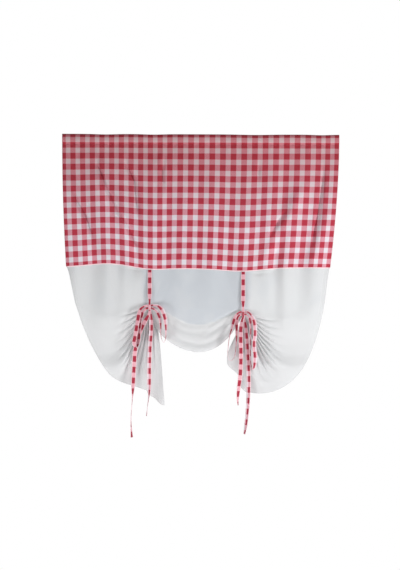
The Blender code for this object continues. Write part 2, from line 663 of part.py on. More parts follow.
def cloth_grid(name, columns, rows, place, flat, hem, material, parts):
    # One flat grid of cloth, moved to where it hangs and given its thickness. Its UV map is in metres.
    grid = bmesh.new()
    bmesh.ops.create_grid(grid, x_segments=columns - 1, y_segments=rows - 1, size=1.0)
    uv_layer = grid.loops.layers.uv.new("flat")
    hem_layer = grid.verts.layers.deform.verify()
    spots = {}
    for vert in grid.verts:
        column = round((vert.co.x + 1.0) / 2.0 * (columns - 1))
        row = round((vert.co.y + 1.0) / 2.0 * (rows - 1))
        spots[vert] = (column, row)
    for face in grid.faces:
        for loop in face.loops:
            loop[uv_layer].uv = flat(*spots[loop.vert])
    for vert, (column, row) in spots.items():
        vert.co = place(column, row)
        vert[hem_layer][0] = 1.0 if hem(column, row) else 0.0
    mesh = bpy.data.meshes.new(name)
    grid.to_mesh(mesh)
    grid.free()
    mesh.materials.append(material)
    mesh.shade_smooth()
    sheet = bpy.data.objects.new(name, mesh)
    sheet.vertex_groups.new(name="hem")
    parts.objects.link(sheet)
    wall = sheet.modifiers.new("Cloth thickness", "SOLIDIFY")
    wall.thickness = HEM_CLOTH
    wall.offset = 0.0
    wall.vertex_group = "hem"
    wall.thickness_vertex_group = CLOTH / HEM_CLOTH
    return sheet


def add_node(tree, kind, settings=None, links=None):
    node = tree.nodes.new(kind)
    for name, value in (settings or {}).items():
        setattr(node, name, value)
    for socket, source in (links or {}).items():
        if isinstance(source, (int, float, tuple)):
            node.inputs[socket].default_value = source
        else:
            tree.links.new(source, node.inputs[socket])
    return node


def gingham_material():
    material = bpy.data.materials.new("Red and white gingham cotton")
    material.use_nodes = True
    tree = material.node_tree
    cotton = tree.nodes["Principled BSDF"]
    cotton.inputs["Roughness"].default_value = 0.85
    cotton.inputs["Metallic"].default_value = 0.0
    flat = add_node(tree, "ShaderNodeUVMap", {"uv_map": "flat"})
    axes = add_node(tree, "ShaderNodeSeparateXYZ", links={0: flat.outputs[0]})
    stripes = []
    for axis in (0, 1):
        turns = add_node(tree, "ShaderNodeMath", {"operation": "DIVIDE"},
                         {0: axes.outputs[axis], 1: CHECK_REPEAT})
        part = add_node(tree, "ShaderNodeMath", {"operation": "FRACT"}, {0: turns.outputs[0]})
        stripes.append(add_node(tree, "ShaderNodeMath", {"operation": "LESS_THAN"},
                                {0: part.outputs[0], 1: 0.5}))
    both = add_node(tree, "ShaderNodeMath", {"operation": "ADD"},
                    {0: stripes[0].outputs[0], 1: stripes[1].outputs[0]})
    share = add_node(tree, "ShaderNodeMath", {"operation": "MULTIPLY"}, {0: both.outputs[0], 1: 0.5})
    colour = add_node(tree, "ShaderNodeMix", {"data_type": "RGBA"},
                      {0: share.outputs[0], 6: (0.78, 0.78, 0.80, 1.0), 7: (0.38, 0.018, 0.045, 1.0)})
    tree.links.new(colour.outputs[2], cotton.inputs["Base Color"])
    return material


def voile_material():
    material = bpy.data.materials.new("White voile")
    material.use_nodes = True
    voile = material.node_tree.nodes["Principled BSDF"]
    voile.inputs["Base Color"].default_value = (0.80, 0.81, 0.84, 1.0)
    voile.inputs["Roughness"].default_value = 0.7
    voile.inputs["Metallic"].default_value = 0.0
    voile.inputs["Alpha"].default_value = 0.8
    return material


# The pieces

def make_gingham_panel(material, parts):
    columns = [seam_share(column) for column in cloth_columns()]
    rows = gingham_profile()
    middle = [gingham_point(0.5, row) for row in rows]
    lengths = [0.0]
    for a, b in zip(middle, middle[1:]):
        lengths.append(lengths[-1] + math.hypot(b.y - a.y, b.z - a.z))

    def place(column, row):
        return gingham_point(columns[column], rows[row])

    def flat(column, row):
        return (columns[column] * HUNG_WIDTH * FULLNESS, -lengths[row])

    def hem(column, row):
        at_side = column < 2 or column > len(columns) - 3
        turned_edge = row > len(rows) - 3
        return (at_side and row > POCKET_ROWS + 3) or turned_edge

    return cloth_grid("gingham_panel", len(columns), len(rows), place, flat, hem, material, parts)


def make_sheer_panel(material, parts):
    columns, rows = cloth_columns(), voile_rows()
    edges = {"left": outer_edge(-1), "right": outer_edge(1)}
    sides = {"left": -1, "right": 1}

    def place(column, row):
        region, share = columns[column]
        length, pleat = rows[row]
        if row == 0:
            lap_drop = 1.0 - SEAM_LAP / (STITCH_Z - SEAM_Z)
            point = gingham_point(seam_share(columns[column]), (None, 0.0, lap_drop))
            return Vector((point.x, layer_y(point.x, point.z, VOILE_DEPTH), point.z))
        below = length - SEAM_LAP if pleat < 0.0 else length
        if region == "swag":
            return swag_point(share, below, pleat)
        return wing_point(sides[region], edges[region], share, below, pleat)

    def flat(column, row):
        return (seam_share(columns[column]) * HUNG_WIDTH * FULLNESS, -rows[row][0])

    def hem(column, row):
        return row > 2 and (column < 2 or column > len(columns) - 3 or row > len(rows) - 2)

    return cloth_grid("sheer_panel", len(columns), len(rows), place, flat, hem, material, parts)


def make_tie(name, side, stations, material, parts):
    edges = ribbon_edges(stations, side)
    lengths = [0.0]
    for (a, b), (c, d) in zip(edges, edges[1:]):
        lengths.append(lengths[-1] + ((c + d) / 2 - (a + b) / 2).length)

    def place(column, row):
        return edges[row][column]

    def flat(column, row):
        return (column * TIE_WIDTH + CHECK_REPEAT * 0.3, -lengths[row])

    def hem(column, row):
        return False

    return cloth_grid(name, 2, len(edges), place, flat, hem, material, parts)


def main():
    for old in list(bpy.data.objects):
        bpy.data.objects.remove(old, do_unlink=True)
    parts = bpy.data.collections.new("tie_up_curtain")
    bpy.context.scene.collection.children.link(parts)
    gingham = gingham_material()
    make_gingham_panel(gingham, parts)
    make_sheer_panel(voile_material(), parts)
    left_front = front_strap(-1) + front_knot() + LEFT_FRONT_LOOP + LEFT_FRONT_TAIL
    left_rear = rear_strap(-1) + rear_knot() + LEFT_REAR_LOOP + LEFT_REAR_TAIL
    right_front = front_strap(1) + front_knot() + RIGHT_FRONT_LOOP + RIGHT_FRONT_TAIL
    right_rear = rear_strap(1) + rear_knot() + RIGHT_REAR_LOOP + RIGHT_REAR_TAIL
    make_tie("left_front_tie", -1, left_front, gingham, parts)
    make_tie("left_rear_tie", -1, left_rear, gingham, parts)
    make_tie("right_front_tie", 1, right_front, gingham, parts)
    make_tie("right_rear_tie", 1, right_rear, gingham, parts)


main()
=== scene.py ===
import math
import bpy
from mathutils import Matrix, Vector, noise


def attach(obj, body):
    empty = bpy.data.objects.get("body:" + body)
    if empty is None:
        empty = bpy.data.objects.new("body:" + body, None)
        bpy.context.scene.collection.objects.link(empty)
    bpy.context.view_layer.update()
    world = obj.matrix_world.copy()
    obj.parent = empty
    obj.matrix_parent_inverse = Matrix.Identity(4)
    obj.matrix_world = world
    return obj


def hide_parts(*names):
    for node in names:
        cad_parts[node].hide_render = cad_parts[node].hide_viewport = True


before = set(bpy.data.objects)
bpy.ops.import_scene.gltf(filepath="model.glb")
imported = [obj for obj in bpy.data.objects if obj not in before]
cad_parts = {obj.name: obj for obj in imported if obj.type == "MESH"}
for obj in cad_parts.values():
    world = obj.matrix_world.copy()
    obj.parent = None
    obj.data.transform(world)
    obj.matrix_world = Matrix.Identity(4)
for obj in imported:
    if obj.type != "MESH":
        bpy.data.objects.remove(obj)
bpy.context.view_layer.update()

print("stage: frame loaded")

# Camera, first of all. The photograph is 400 x 570 pixels, straight on, with a long lens.
cameraValues = {
    "distance": 11.0,
    "middle": (-0.0008, -0.686),    # what the middle of the picture looks at, as x and z
    "viewWidth": 1.880,             # metres across the 400 pixels
    "roll": 0.22,                   # degrees, the photograph leans a little
    "sensorWidth": 36.0, "sees": 60.0,
}
cameraData = bpy.data.cameras.new("photoCamera")
cameraData.sensor_fit = "HORIZONTAL"
cameraData.sensor_width = cameraValues["sensorWidth"]
cameraData.lens = cameraValues["sensorWidth"] * cameraValues["distance"] / cameraValues["viewWidth"]
cameraData.clip_end = cameraValues["sees"]
photoCamera = bpy.data.objects.new("photoCamera", cameraData)
bpy.context.scene.collection.objects.link(photoCamera)
photoCamera.location = (cameraValues["middle"][0], -cameraValues["distance"], cameraValues["middle"][1])
photoCamera.rotation_euler = (math.pi / 2, -math.radians(cameraValues["roll"]), 0.0)
bpy.context.scene.camera = photoCamera

# How the curtain hangs, the same rules as the solids follow, in metres
hang = {
    "width": 1.302, "leftDrawIn": 0.020, "rightDrawIn": 0.040, "drawInPower": 1.7,
    "panelDrop": 0.627, "pocketHeight": 0.044, "pocketDepth": 0.018, "pocketTurnIn": 0.014,
    "stitchBelow": 0.004,           # how far below the pocket's middle line its stitching runs
    "flatWidth": 1.393, "seamLap": 0.010, "seamGap": 0.0010,
    "leftTieX": -0.237, "rightTieX": 0.202, "leftLift": 0.186, "rightLift": 0.214,
    "bunchHeight": 0.040, "gripWidth": 0.016, "pleatPitch": 0.0045, "swagPleatPitch": 0.0075,
    "wavesBetweenTies": 3, "leftWave": 0.011, "middleWave": 0.004, "rightWave": 0.009,
    "pleatLegs": 5, "waveLean": 0.10, "waveTurn": 0.20, "tieWidth": 0.020,
    "slowWave": 0.35, "slowWaveTurn": 0.6, "waveGrows": 0.8,
    # seam dips and rises: how far, and how wide
    "leftTieDip": (0.009, 0.10), "rightTieDip": (0.015, 0.13), "middleDip": (0.006, 0.20),
    "leftSeamRise": (0.016, 0.13),
    # folds that the lifted voile draws towards the ties: upper end, lower end, half width, height,
    # with a fade past their ends and below the pocket, both as a share of their length or the drop
    "foldsFade": 0.15, "foldsBegin": 0.12,
    "drawnFolds": [
        ((-0.620, -0.183), (-0.485, -0.573), 0.030, 0.010),
        ((-0.490, -0.070), (-0.360, -0.430), 0.026, 0.008),
        ((-0.480, -0.174), (-0.268, -0.550), 0.028, 0.012),
        ((-0.186, -0.070), (-0.180, -0.300), 0.024, 0.006),
        ((0.480, -0.230), (0.320, -0.540), 0.030, 0.009),
        ((0.610, -0.330), (0.520, -0.580), 0.026, 0.007),
    ],
}
stitchZ = -hang["pocketHeight"] / 2 - hang["stitchBelow"]
seamLevel = hang["pocketHeight"] / 2 - hang["panelDrop"]
bunchDepth = (hang["pleatLegs"] - 0.5) * hang["pleatPitch"]
bunchFrontY = -bunchDepth / 2


def mix(a, b, share):
    return a + (b - a) * share


def smooth(value):
    share = min(max(value, 0.0), 1.0)
    return share * share * (3.0 - 2.0 * share)


def hump(offset, spread):
    return math.exp(-(offset / spread) ** 2)


def sideX(side, z):
    drawn = hang["leftDrawIn"] if side < 0 else hang["rightDrawIn"]
    share = min(max((stitchZ - z) / (stitchZ - seamLevel), 0.0), 1.0)
    return side * (hang["width"] / 2 - drawn * share ** hang["drawInPower"])


def seamZ(x):
    z = seamLevel
    for name, place in (("leftTieDip", hang["leftTieX"]), ("rightTieDip", hang["rightTieX"]),
                        ("middleDip", (hang["leftTieX"] + hang["rightTieX"]) / 2)):
        z -= hang[name][0] * hump(x - place, hang[name][1])
    rise, spread = hang["leftSeamRise"]
    return z + rise * hump(x - (hang["leftTieX"] + sideX(-1, seamLevel)) / 2, spread)


def wave(x, z):
    top = stitchZ - hang["pocketTurnIn"]
    share = min(max((top - z) / (top - seamLevel), 0.0), 1.0)
    left = smooth((hang["leftTieX"] - hang["tieWidth"] - x) / hang["waveTurn"])
    right = smooth((x - hang["rightTieX"] - hang["tieWidth"]) / hang["waveTurn"])
    lean = hang["waveLean"] * (left - right) * share
    size = hang["middleWave"] + (hang["leftWave"] - hang["middleWave"]) * left + (
        hang["rightWave"] - hang["middleWave"]) * right
    length = (hang["rightTieX"] - hang["leftTieX"]) / hang["wavesBetweenTies"]
    turn = 2.0 * math.pi * (x - hang["leftTieX"] - lean) / length
    slow = hang["slowWave"] * (math.cos(hang["slowWaveTurn"] * turn) - 1.0)
    ripple = size * share ** hang["waveGrows"] * (math.cos(turn) + slow)
    return -ripple - drawnFolds(x, z) * smooth(share / hang["foldsBegin"])


def drawnFolds(x, z):
    forward, past = 0.0, hang["foldsFade"]
    for (topX, topZ), (lowX, lowZ), width, height in hang["drawnFolds"]:
        share = (topZ - z) / (topZ - lowZ)
        if -past < share < 1.0 + past:
            fade = smooth((share + past) / (2.0 * past)) * smooth((1.0 + past - share) / (2.0 * past))
            forward += height * fade * hump(x - mix(topX, lowX, share), width)
    return forward


def nearLine(lines, x, z, width, taper):
    # 1 on a line and falling away from it, over about the width to each side and the taper at its ends
    most = 0.0
    for points in lines:
        nearest = 1.0
        for (startX, startZ), (endX, endZ) in zip(points, points[1:]):
            runX, runZ = endX - startX, endZ - startZ
            share = ((x - startX) * runX + (z - startZ) * runZ) / (runX ** 2 + runZ ** 2)
            share = min(max(share, 0.0), 1.0)
            nearest = min(nearest, math.hypot(x - startX - runX * share, z - startZ - runZ * share))
        ends = [smooth(math.hypot(x - endX, z - endZ) / taper)
                for endX, endZ in (points[0], points[-1])]
        most = max(most, hump(nearest, width) * min(ends))
    return most


def layerY(x, z, depth):
    step = 0.002
    across = (wave(x + step, z) - wave(x - step, z)) / (2.0 * step)
    down = (wave(x, z + step) - wave(x, z - step)) / (2.0 * step)
    return wave(x, z) + depth * math.sqrt(1.0 + across ** 2 + down ** 2)


# The finishes: yarn-dyed gingham, voile and sewing thread
def hexColour(text, alpha=1.0):
    # sRGB hex to the linear values that the shader works in
    channels = [int(text[i:i + 2], 16) / 255.0 for i in (1, 3, 5)]
    linear = [c / 12.92 if c <= 0.04045 else ((c + 0.055) / 1.055) ** 2.4 for c in channels]
    return tuple(linear) + (alpha,)


def addNode(tree, kind, settings=None, links=None):
    node = tree.nodes.new(kind)
    for name, value in (settings or {}).items():
        setattr(node, name, value)
    for socket, source in (links or {}).items():
        if isinstance(source, bpy.types.NodeSocket):
            tree.links.new(source, node.inputs[socket])
        else:
            node.inputs[socket].default_value = source
    return node


def newMaterial(name, roughness, sheen=0.0):
    material = bpy.data.materials.new(name)
    material.use_nodes = True
    shader = material.node_tree.nodes["Principled BSDF"]
    shader.inputs["Roughness"].default_value = roughness
    shader.inputs["Metallic"].default_value = 0.0
    shader.inputs["Sheen Weight"].default_value = sheen
    shader.inputs["Sheen Roughness"].default_value = 0.5
    return material, material.node_tree, shader


def threadWaves(tree, axes, rate):
    # fine bands across the cloth both ways, one for each set of threads
    waves = []
    for axis in (0, 1):
        turn = addNode(tree, "ShaderNodeMath", {"operation": "MULTIPLY"},
                       {0: axes.outputs[axis], 1: rate})
        waves.append(addNode(tree, "ShaderNodeMath", {"operation": "SINE"}, {0: turn.outputs[0]}))
    return waves


ginghamValues = {
    "repeat": 0.0508,           # one-inch checks, one red and one white to a repeat
    "threadPitch": 0.0010,      # real thread is about 0.4 mm, drawn coarser so that it shows
    "white": "#DAD5DB", "edge": "#F0D3D8",
    "panelRed": "#AE283D", "panelPink": "#CE8A98",
    # the ties lie double, and their turned edges show through
    "tieRed": "#A21F38", "tiePink": "#DFA3AE",
    # where the check begins at the left edge and the top edge, in repeats
    "panelPhases": (-0.118, 0.91), "tiePhases": (0.0, 0.0),
    # painted shade at the top of the cloth: its tint on the panel and on the ties, and how far down it
    # fades, in metres of cloth
    "panelPaintedTopShade": (0.82, 0.60, 0.58), "tiePaintedTopShade": (1.0, 1.0, 1.0), "topShadeFades": 0.5,
    # from how far off the middle of a white stripe to how far the red one begins, in repeats
    "redEdge": (0.22, 0.24),
    "wander": 0.0010, "wanderScale": 30.0,      # how far the stripes stray, and how often to a metre
    "fleck": 0.12, "dyeScale": 7.0, "dyeLevels": (0.95, 1.03), "edgePaling": 0.85,
    "roughness": 0.88, "fuzz": 0.15, "weaveBump": 0.25, "weaveDepth": 0.0002,
}


def makeGinghamMaterial(name, cloth):
    # Yarn-dyed plain-weave cotton: where red warp crosses red weft it is deep red, where red crosses
    # white it is a flecked pink, and the rest is white. Matte, with a little fuzz. "cloth" is the
    # panel or a tie, which are cut at other places and lie single or double.
    material, tree, shader = newMaterial(name, ginghamValues["roughness"], ginghamValues["fuzz"])
    flat = addNode(tree, "ShaderNodeUVMap", {"uv_map": "flat"})
    axes = addNode(tree, "ShaderNodeSeparateXYZ", links={0: flat.outputs[0]})
    wobble = addNode(tree, "ShaderNodeTexNoise", {"noise_dimensions": "2D"},
                     {"Vector": flat.outputs[0], "Scale": ginghamValues["wanderScale"], "Detail": 1.0})
    stripes = []
    for axis, phase in enumerate(ginghamValues[cloth + "Phases"]):
        shift = addNode(tree, "ShaderNodeMath", {"operation": "MULTIPLY_ADD"},
                        {0: wobble.outputs[0], 1: ginghamValues["wander"], 2: axes.outputs[axis]})
        turns = addNode(tree, "ShaderNodeMath", {"operation": "MULTIPLY_ADD"},
                        {0: shift.outputs[0], 1: 1.0 / ginghamValues["repeat"], 2: phase})
        part = addNode(tree, "ShaderNodeMath", {"operation": "FRACT"}, {0: turns.outputs[0]})
        fromMiddle = addNode(tree, "ShaderNodeMath", {"operation": "SUBTRACT"},
                             {0: part.outputs[0], 1: 0.5})
        away = addNode(tree, "ShaderNodeMath", {"operation": "ABSOLUTE"}, {0: fromMiddle.outputs[0]})
        # 1 on a red stripe, 0 on a white one, with a thread-wide soft edge
        begins, full = ginghamValues["redEdge"]
        stripe = addNode(tree, "ShaderNodeMapRange", {"interpolation_type": "SMOOTHSTEP"},
                         {0: away.outputs[0], 1: begins, 2: full, 3: 0.0, 4: 1.0})
        stripes.append(stripe)
    # the weave: over and under threads, from two sets of fine bands
    threads = threadWaves(tree, axes, math.pi / ginghamValues["threadPitch"])
    crossing = addNode(tree, "ShaderNodeMath", {"operation": "MULTIPLY"},
                       {0: threads[0].outputs[0], 1: threads[1].outputs[0]})
    over = addNode(tree, "ShaderNodeMath", {"operation": "GREATER_THAN"},
                   {0: crossing.outputs[0], 1: 0.0})
    # which thread is on top decides the fleck in the pink squares
    top = addNode(tree, "ShaderNodeMix", {"data_type": "FLOAT"},
                  {0: over.outputs[0], 2: stripes[0].outputs[0], 3: stripes[1].outputs[0]})
    both = addNode(tree, "ShaderNodeMath", {"operation": "ADD"},
                   {0: stripes[0].outputs[0], 1: stripes[1].outputs[0]})
    half = addNode(tree, "ShaderNodeMath", {"operation": "MULTIPLY"}, {0: both.outputs[0], 1: 0.5})
    redness = addNode(tree, "ShaderNodeMix", {"data_type": "FLOAT"},
                      {0: ginghamValues["fleck"], 2: half.outputs[0], 3: top.outputs[0]})
    ramp = addNode(tree, "ShaderNodeValToRGB", links={0: redness.outputs[0]})
    ramp.color_ramp.elements[0].color = hexColour(ginghamValues["white"])
    ramp.color_ramp.elements[1].color = hexColour(ginghamValues[cloth + "Red"])
    ramp.color_ramp.elements.new(0.5).color = hexColour(ginghamValues[cloth + "Pink"])
    # slow change in the dye across the cloth
    dye = addNode(tree, "ShaderNodeTexNoise", {"noise_dimensions": "2D"},
                  {"Vector": flat.outputs[0], "Scale": ginghamValues["dyeScale"], "Detail": 3.0})
    weakest, strongest = ginghamValues["dyeLevels"]
    level = addNode(tree, "ShaderNodeMapRange",
                    links={0: dye.outputs[0], 1: 0.25, 2: 0.75, 3: weakest, 4: strongest})
    colour = addNode(tree, "ShaderNodeVectorMath", {"operation": "SCALE"},
                     {0: ramp.outputs[0], 3: level.outputs[0]})
    # the edges are made paler
    edge = addNode(tree, "ShaderNodeAttribute", {"attribute_name": "edge"})
    edgePaling = addNode(tree, "ShaderNodeMapRange", {"interpolation_type": "SMOOTHSTEP"},
                     {0: edge.outputs["Fac"], 1: 0.05, 2: 0.25, 3: 0.0, 4: ginghamValues["edgePaling"]})
    paler = addNode(tree, "ShaderNodeMix", {"data_type": "RGBA"},
                    {0: edgePaling.outputs[0], 6: colour.outputs[0], 7: hexColour(ginghamValues["edge"])})
    # painted shade: the cloth is made darker and warmer towards the top, standing in for the shade that
    # falls there
    deep = addNode(tree, "ShaderNodeMapRange", {"interpolation_type": "SMOOTHSTEP"},
                   {0: axes.outputs[1], 1: 0.0, 2: ginghamValues["topShadeFades"], 3: 0.0, 4: 1.0})
    topShadeTint = ginghamValues[cloth + "PaintedTopShade"] + (1.0,)
    tone = addNode(tree, "ShaderNodeMix", {"data_type": "RGBA"},
                   {0: deep.outputs[0], 6: topShadeTint, 7: (1.0, 1.0, 1.0, 1.0)})
    topShadedColour = addNode(tree, "ShaderNodeVectorMath", {"operation": "MULTIPLY"},
                    {0: paler.outputs[2], 1: tone.outputs[2]})
    tree.links.new(topShadedColour.outputs[0], shader.inputs["Base Color"])
    height = addNode(tree, "ShaderNodeMath", {"operation": "ABSOLUTE"}, {0: crossing.outputs[0]})
    bump = addNode(tree, "ShaderNodeBump", links={
        "Height": height.outputs[0], "Strength": ginghamValues["weaveBump"],
        "Distance": ginghamValues["weaveDepth"]})
    tree.links.new(bump.outputs[0], shader.inputs["Normal"])
    return material


voileValues = {
    # one layer, a fold, and many layers, with the share at which a fold's tone is full; the drawn-in
    # wings take the paler fold tone as painted light
    "single": "#C1C5CA", "folded": "#D1D2D3", "several": "#C8C8C9", "foldedAt": 0.35,
    "singleAlpha": 0.88, "severalAlpha": 0.96, "shadowAlpha": 0.20,
    "threadPitch": 0.0012,                         # real voile has about 0.3 mm, drawn coarser
    "cloudScale": 9.0, "cloud": 0.08,              # slow unevenness of the weave
    "gapAlpha": (-0.10, 0.06),                     # less cover in the net's gaps, more on its threads
    "roughness": 0.72, "sheen": 0.1, "weaveBump": 0.15, "weaveDepth": 0.0002,
}


def makeVoileMaterial(name):
    # Polyester voile: a thin open plain weave that lets some of what is behind it through, and looks
    # whiter and denser wherever hems or folds lay it double.
    # Where the wings are drawn in towards the ties it is painted paler as well, as painted light coming
    # through the crinkled cloth.
    material, tree, shader = newMaterial(name, voileValues["roughness"], voileValues["sheen"])
    layersAndPaintedLight = addNode(tree, "ShaderNodeAttribute", {"attribute_name": "layersAndPaintedLight"})
    flat = addNode(tree, "ShaderNodeUVMap", {"uv_map": "flat"})
    axes = addNode(tree, "ShaderNodeSeparateXYZ", links={0: flat.outputs[0]})
    cloud = addNode(tree, "ShaderNodeTexNoise", {"noise_dimensions": "2D"},
                    {"Vector": flat.outputs[0], "Scale": voileValues["cloudScale"], "Detail": 2.0})
    uneven = addNode(tree, "ShaderNodeMapRange", links={
        0: cloud.outputs[0], 1: 0.3, 2: 0.7, 3: -voileValues["cloud"], 4: voileValues["cloud"]})
    amount = addNode(tree, "ShaderNodeMath", {"operation": "ADD", "use_clamp": True},
                     {0: layersAndPaintedLight.outputs["Fac"], 1: uneven.outputs[0]})
    colour = addNode(tree, "ShaderNodeValToRGB", links={0: amount.outputs[0]})
    colour.color_ramp.elements[0].color = hexColour(voileValues["single"])
    colour.color_ramp.elements[1].color = hexColour(voileValues["several"])
    colour.color_ramp.elements.new(voileValues["foldedAt"]).color = hexColour(voileValues["folded"])
    tree.links.new(colour.outputs[0], shader.inputs["Base Color"])
    threads = threadWaves(tree, axes, 2.0 * math.pi / voileValues["threadPitch"])
    net = addNode(tree, "ShaderNodeMath", {"operation": "MAXIMUM"},
                  {0: threads[0].outputs[0], 1: threads[1].outputs[0]})
    inGap, onThread = voileValues["gapAlpha"]
    openness = addNode(tree, "ShaderNodeMapRange",
                       links={0: net.outputs[0], 1: -1.0, 2: 1.0, 3: inGap, 4: onThread})
    solid = addNode(tree, "ShaderNodeMix", {"data_type": "FLOAT"}, {
        0: layersAndPaintedLight.outputs["Fac"], 2: voileValues["singleAlpha"], 3: voileValues["severalAlpha"]})
    alpha = addNode(tree, "ShaderNodeMath", {"operation": "ADD", "use_clamp": True},
                    {0: solid.outputs[0], 1: openness.outputs[0]})
    # light comes through the cloth more easily than sight does, so that folds are lit from within
    path = addNode(tree, "ShaderNodeLightPath")
    seen = addNode(tree, "ShaderNodeMix", {"data_type": "FLOAT"}, {
        0: path.outputs["Is Shadow Ray"], 2: alpha.outputs[0], 3: voileValues["shadowAlpha"]})
    tree.links.new(seen.outputs[0], shader.inputs["Alpha"])
    bump = addNode(tree, "ShaderNodeBump", links={
        "Height": net.outputs[0], "Strength": voileValues["weaveBump"],
        "Distance": voileValues["weaveDepth"]})
    tree.links.new(bump.outputs[0], shader.inputs["Normal"])
    return material


threadValues = {
    "white": "#E6E4E6", "red": "#A8404F", "roughness": 0.6, "sheen": 0.3,
    "twistScale": 900.0, "twistBump": 0.3, "twistDepth": 0.0001,
}


def makeThreadMaterial(name, colour):
    # Spun polyester sewing thread: plain colour, slight sheen, a fine twist that keeps it from
    # looking like wire
    material, tree, shader = newMaterial(name, threadValues["roughness"], threadValues["sheen"])
    place = addNode(tree, "ShaderNodeTexCoord")
    twist = addNode(tree, "ShaderNodeTexWave",
                    links={"Vector": place.outputs["Object"], "Scale": threadValues["twistScale"]})
    bump = addNode(tree, "ShaderNodeBump", links={
        "Height": twist.outputs[1], "Strength": threadValues["twistBump"],
        "Distance": threadValues["twistDepth"]})
    tree.links.new(bump.outputs[0], shader.inputs["Normal"])
    shader.inputs["Base Color"].default_value = hexColour(colour)
    return material


panelGingham = makeGinghamMaterial("Yarn-dyed cotton gingham, plain weave", "panel")
tieGingham = makeGinghamMaterial("Yarn-dyed cotton gingham, folded ties", "tie")
voile = makeVoileMaterial("Polyester voile, open plain weave")
whiteThread = makeThreadMaterial("Spun polyester thread, white", threadValues["white"])
redThread = makeThreadMaterial("Spun polyester thread, red", threadValues["red"])
print("stage: materials made")


# Every piece of cloth is made by this
def clothSheet(name, columns, rows, place, flat, thickness, material, field, amount):
    # A grid of cloth with its flat lay as UV, in metres, given a thickness afterwards
    points = [place(c, r) for r in range(rows) for c in range(columns)]
    faces = []
    for r in range(rows - 1):
        for c in range(columns - 1):
            a = r * columns + c
            faces.append((a, a + columns, a + columns + 1, a + 1))
    mesh = bpy.data.meshes.new(name)
    mesh.from_pydata([tuple(p) for p in points], [], faces)
    uvs = mesh.uv_layers.new(name="flat")
    for loop in mesh.loops:
        uvs.data[loop.index].uv = flat(loop.vertex_index % columns, loop.vertex_index // columns)
    attribute = mesh.attributes.new(field, "FLOAT", "POINT")
    for index in range(len(points)):
        attribute.data[index].value = amount(index % columns, index // columns)
    mesh.materials.append(material)
    mesh.shade_smooth()
    sheet = bpy.data.objects.new(name, mesh)
    bpy.context.scene.collection.objects.link(sheet)
    wall = sheet.modifiers.new("Cloth thickness", "SOLIDIFY")
    wall.thickness = thickness
    wall.offset = 0.0
    return sheet


# The gingham panel
ginghamPanel = {
    "columns": 290, "pocketRows": 30, "panelRows": 124, "thickness": 0.0007,
    # little gathers under the pocket's stitching: depth, length, fade below it, and how they stray
    "pucker": 0.0012, "puckerLength": 0.034, "puckerFade": 0.05, "puckerStray": (2.5, 9.0),
    "crease": 0.0016, "creaseScale": (16.0, 4.0), "creasesBelow": 0.08, "seamKeeps": 0.03,
    "turnedEdgeY": 0.0014, "pocketSweep": (-62.0, 242.0), "firstRow": 0.004,
    "foldDepth": 0.015, "foldWidth": 0.009, "foldTaper": 0.12,
    # sharp valleys beside the drawn folds
    "foldLines": [
        ((-0.5836, -0.0421), (-0.5742, -0.1220)),
        ((-0.6212, -0.1831), (-0.5836, -0.2912), (-0.5366, -0.3711), (-0.4896, -0.5121)),
        ((-0.4943, -0.0450), (-0.4849, -0.1220), (-0.4426, -0.2301), (-0.3956, -0.3241),
         (-0.3486, -0.4040), (-0.3016, -0.4980), (-0.2828, -0.5779)),
        ((-0.3580, -0.0515), (-0.3486, -0.1220), (-0.3110, -0.1972), (-0.2969, -0.3382),
         (-0.2875, -0.4040)),
        ((-0.1700, -0.0500), (-0.1794, -0.1455), (-0.1747, -0.2865)),
        ((0.2718, -0.0750), (0.2718, -0.2301)),
        ((0.4222, -0.3100), (0.3564, -0.4040), (0.3094, -0.4886)),
        ((0.5773, -0.0985), (0.5726, -0.2160), (0.5538, -0.3570), (0.5209, -0.5215)),
    ],
    # cloth to the share of the hung width, up to each share
    "gathering": ((0.3889, 1.4523), (0.9268, 1.3222), (1.0, 1.5417)),
    "repeatsDown": 12.2,            # repeats of the check from the top edge to the seam
    # where the pocket hangs slack between the places that carry it, and how wide, and how far it dips
    "topSlack": ((-0.447, 0.06), (-0.222, 0.06), (0.258, 0.09), (0.568, 0.05)), "topDip": 0.0022,
}


def ginghamRows():
    # height, depth behind the panel, share of the drop, and the length of cloth from the top edge down
    rows = []
    for step in range(4):
        height = mix(stitchZ - hang["pocketTurnIn"], stitchZ, step / 3)
        rows.append([height, ginghamPanel["turnedEdgeY"], None])
    for step in range(ginghamPanel["pocketRows"] + 1):
        angle = math.radians(mix(*ginghamPanel["pocketSweep"], step / ginghamPanel["pocketRows"]))
        height = hang["pocketHeight"] / 2 * math.sin(angle)
        rows.append([height, hang["pocketDepth"] / 2 * math.cos(angle), None])
    rows.append([stitchZ, 0.0, None])
    for step in range(ginghamPanel["panelRows"] + 1):
        rows.append([None, 0.0, mix(ginghamPanel["firstRow"], 1.0, step / ginghamPanel["panelRows"])])
    return rows


def panelPucker(x, z):
    # fine gathers that fade below the stitching, and soft creases lower down
    below = max(stitchZ - z, 0.0)
    gather = ginghamPanel["pucker"] * math.exp(-below / ginghamPanel["puckerFade"])
    gather *= smooth(below / 0.006 + 0.3)
    stray, scale = ginghamPanel["puckerStray"]
    turn = 2.0 * math.pi * x / ginghamPanel["puckerLength"]
    turn += stray * noise.noise(Vector((x * scale, 0.0, 3.0)))
    lower = smooth(below / ginghamPanel["creasesBelow"])
    across, down = ginghamPanel["creaseScale"]
    crease = ginghamPanel["crease"] * lower * noise.noise(Vector((x * across, z * down, 7.0)))
    fold = nearLine(ginghamPanel["foldLines"], x, z,
                    ginghamPanel["foldWidth"], ginghamPanel["foldTaper"])
    keep = smooth((z - seamZ(x)) / ginghamPanel["seamKeeps"])
    return gather * math.sin(turn) + (crease + ginghamPanel["foldDepth"] * fold * lower) * keep


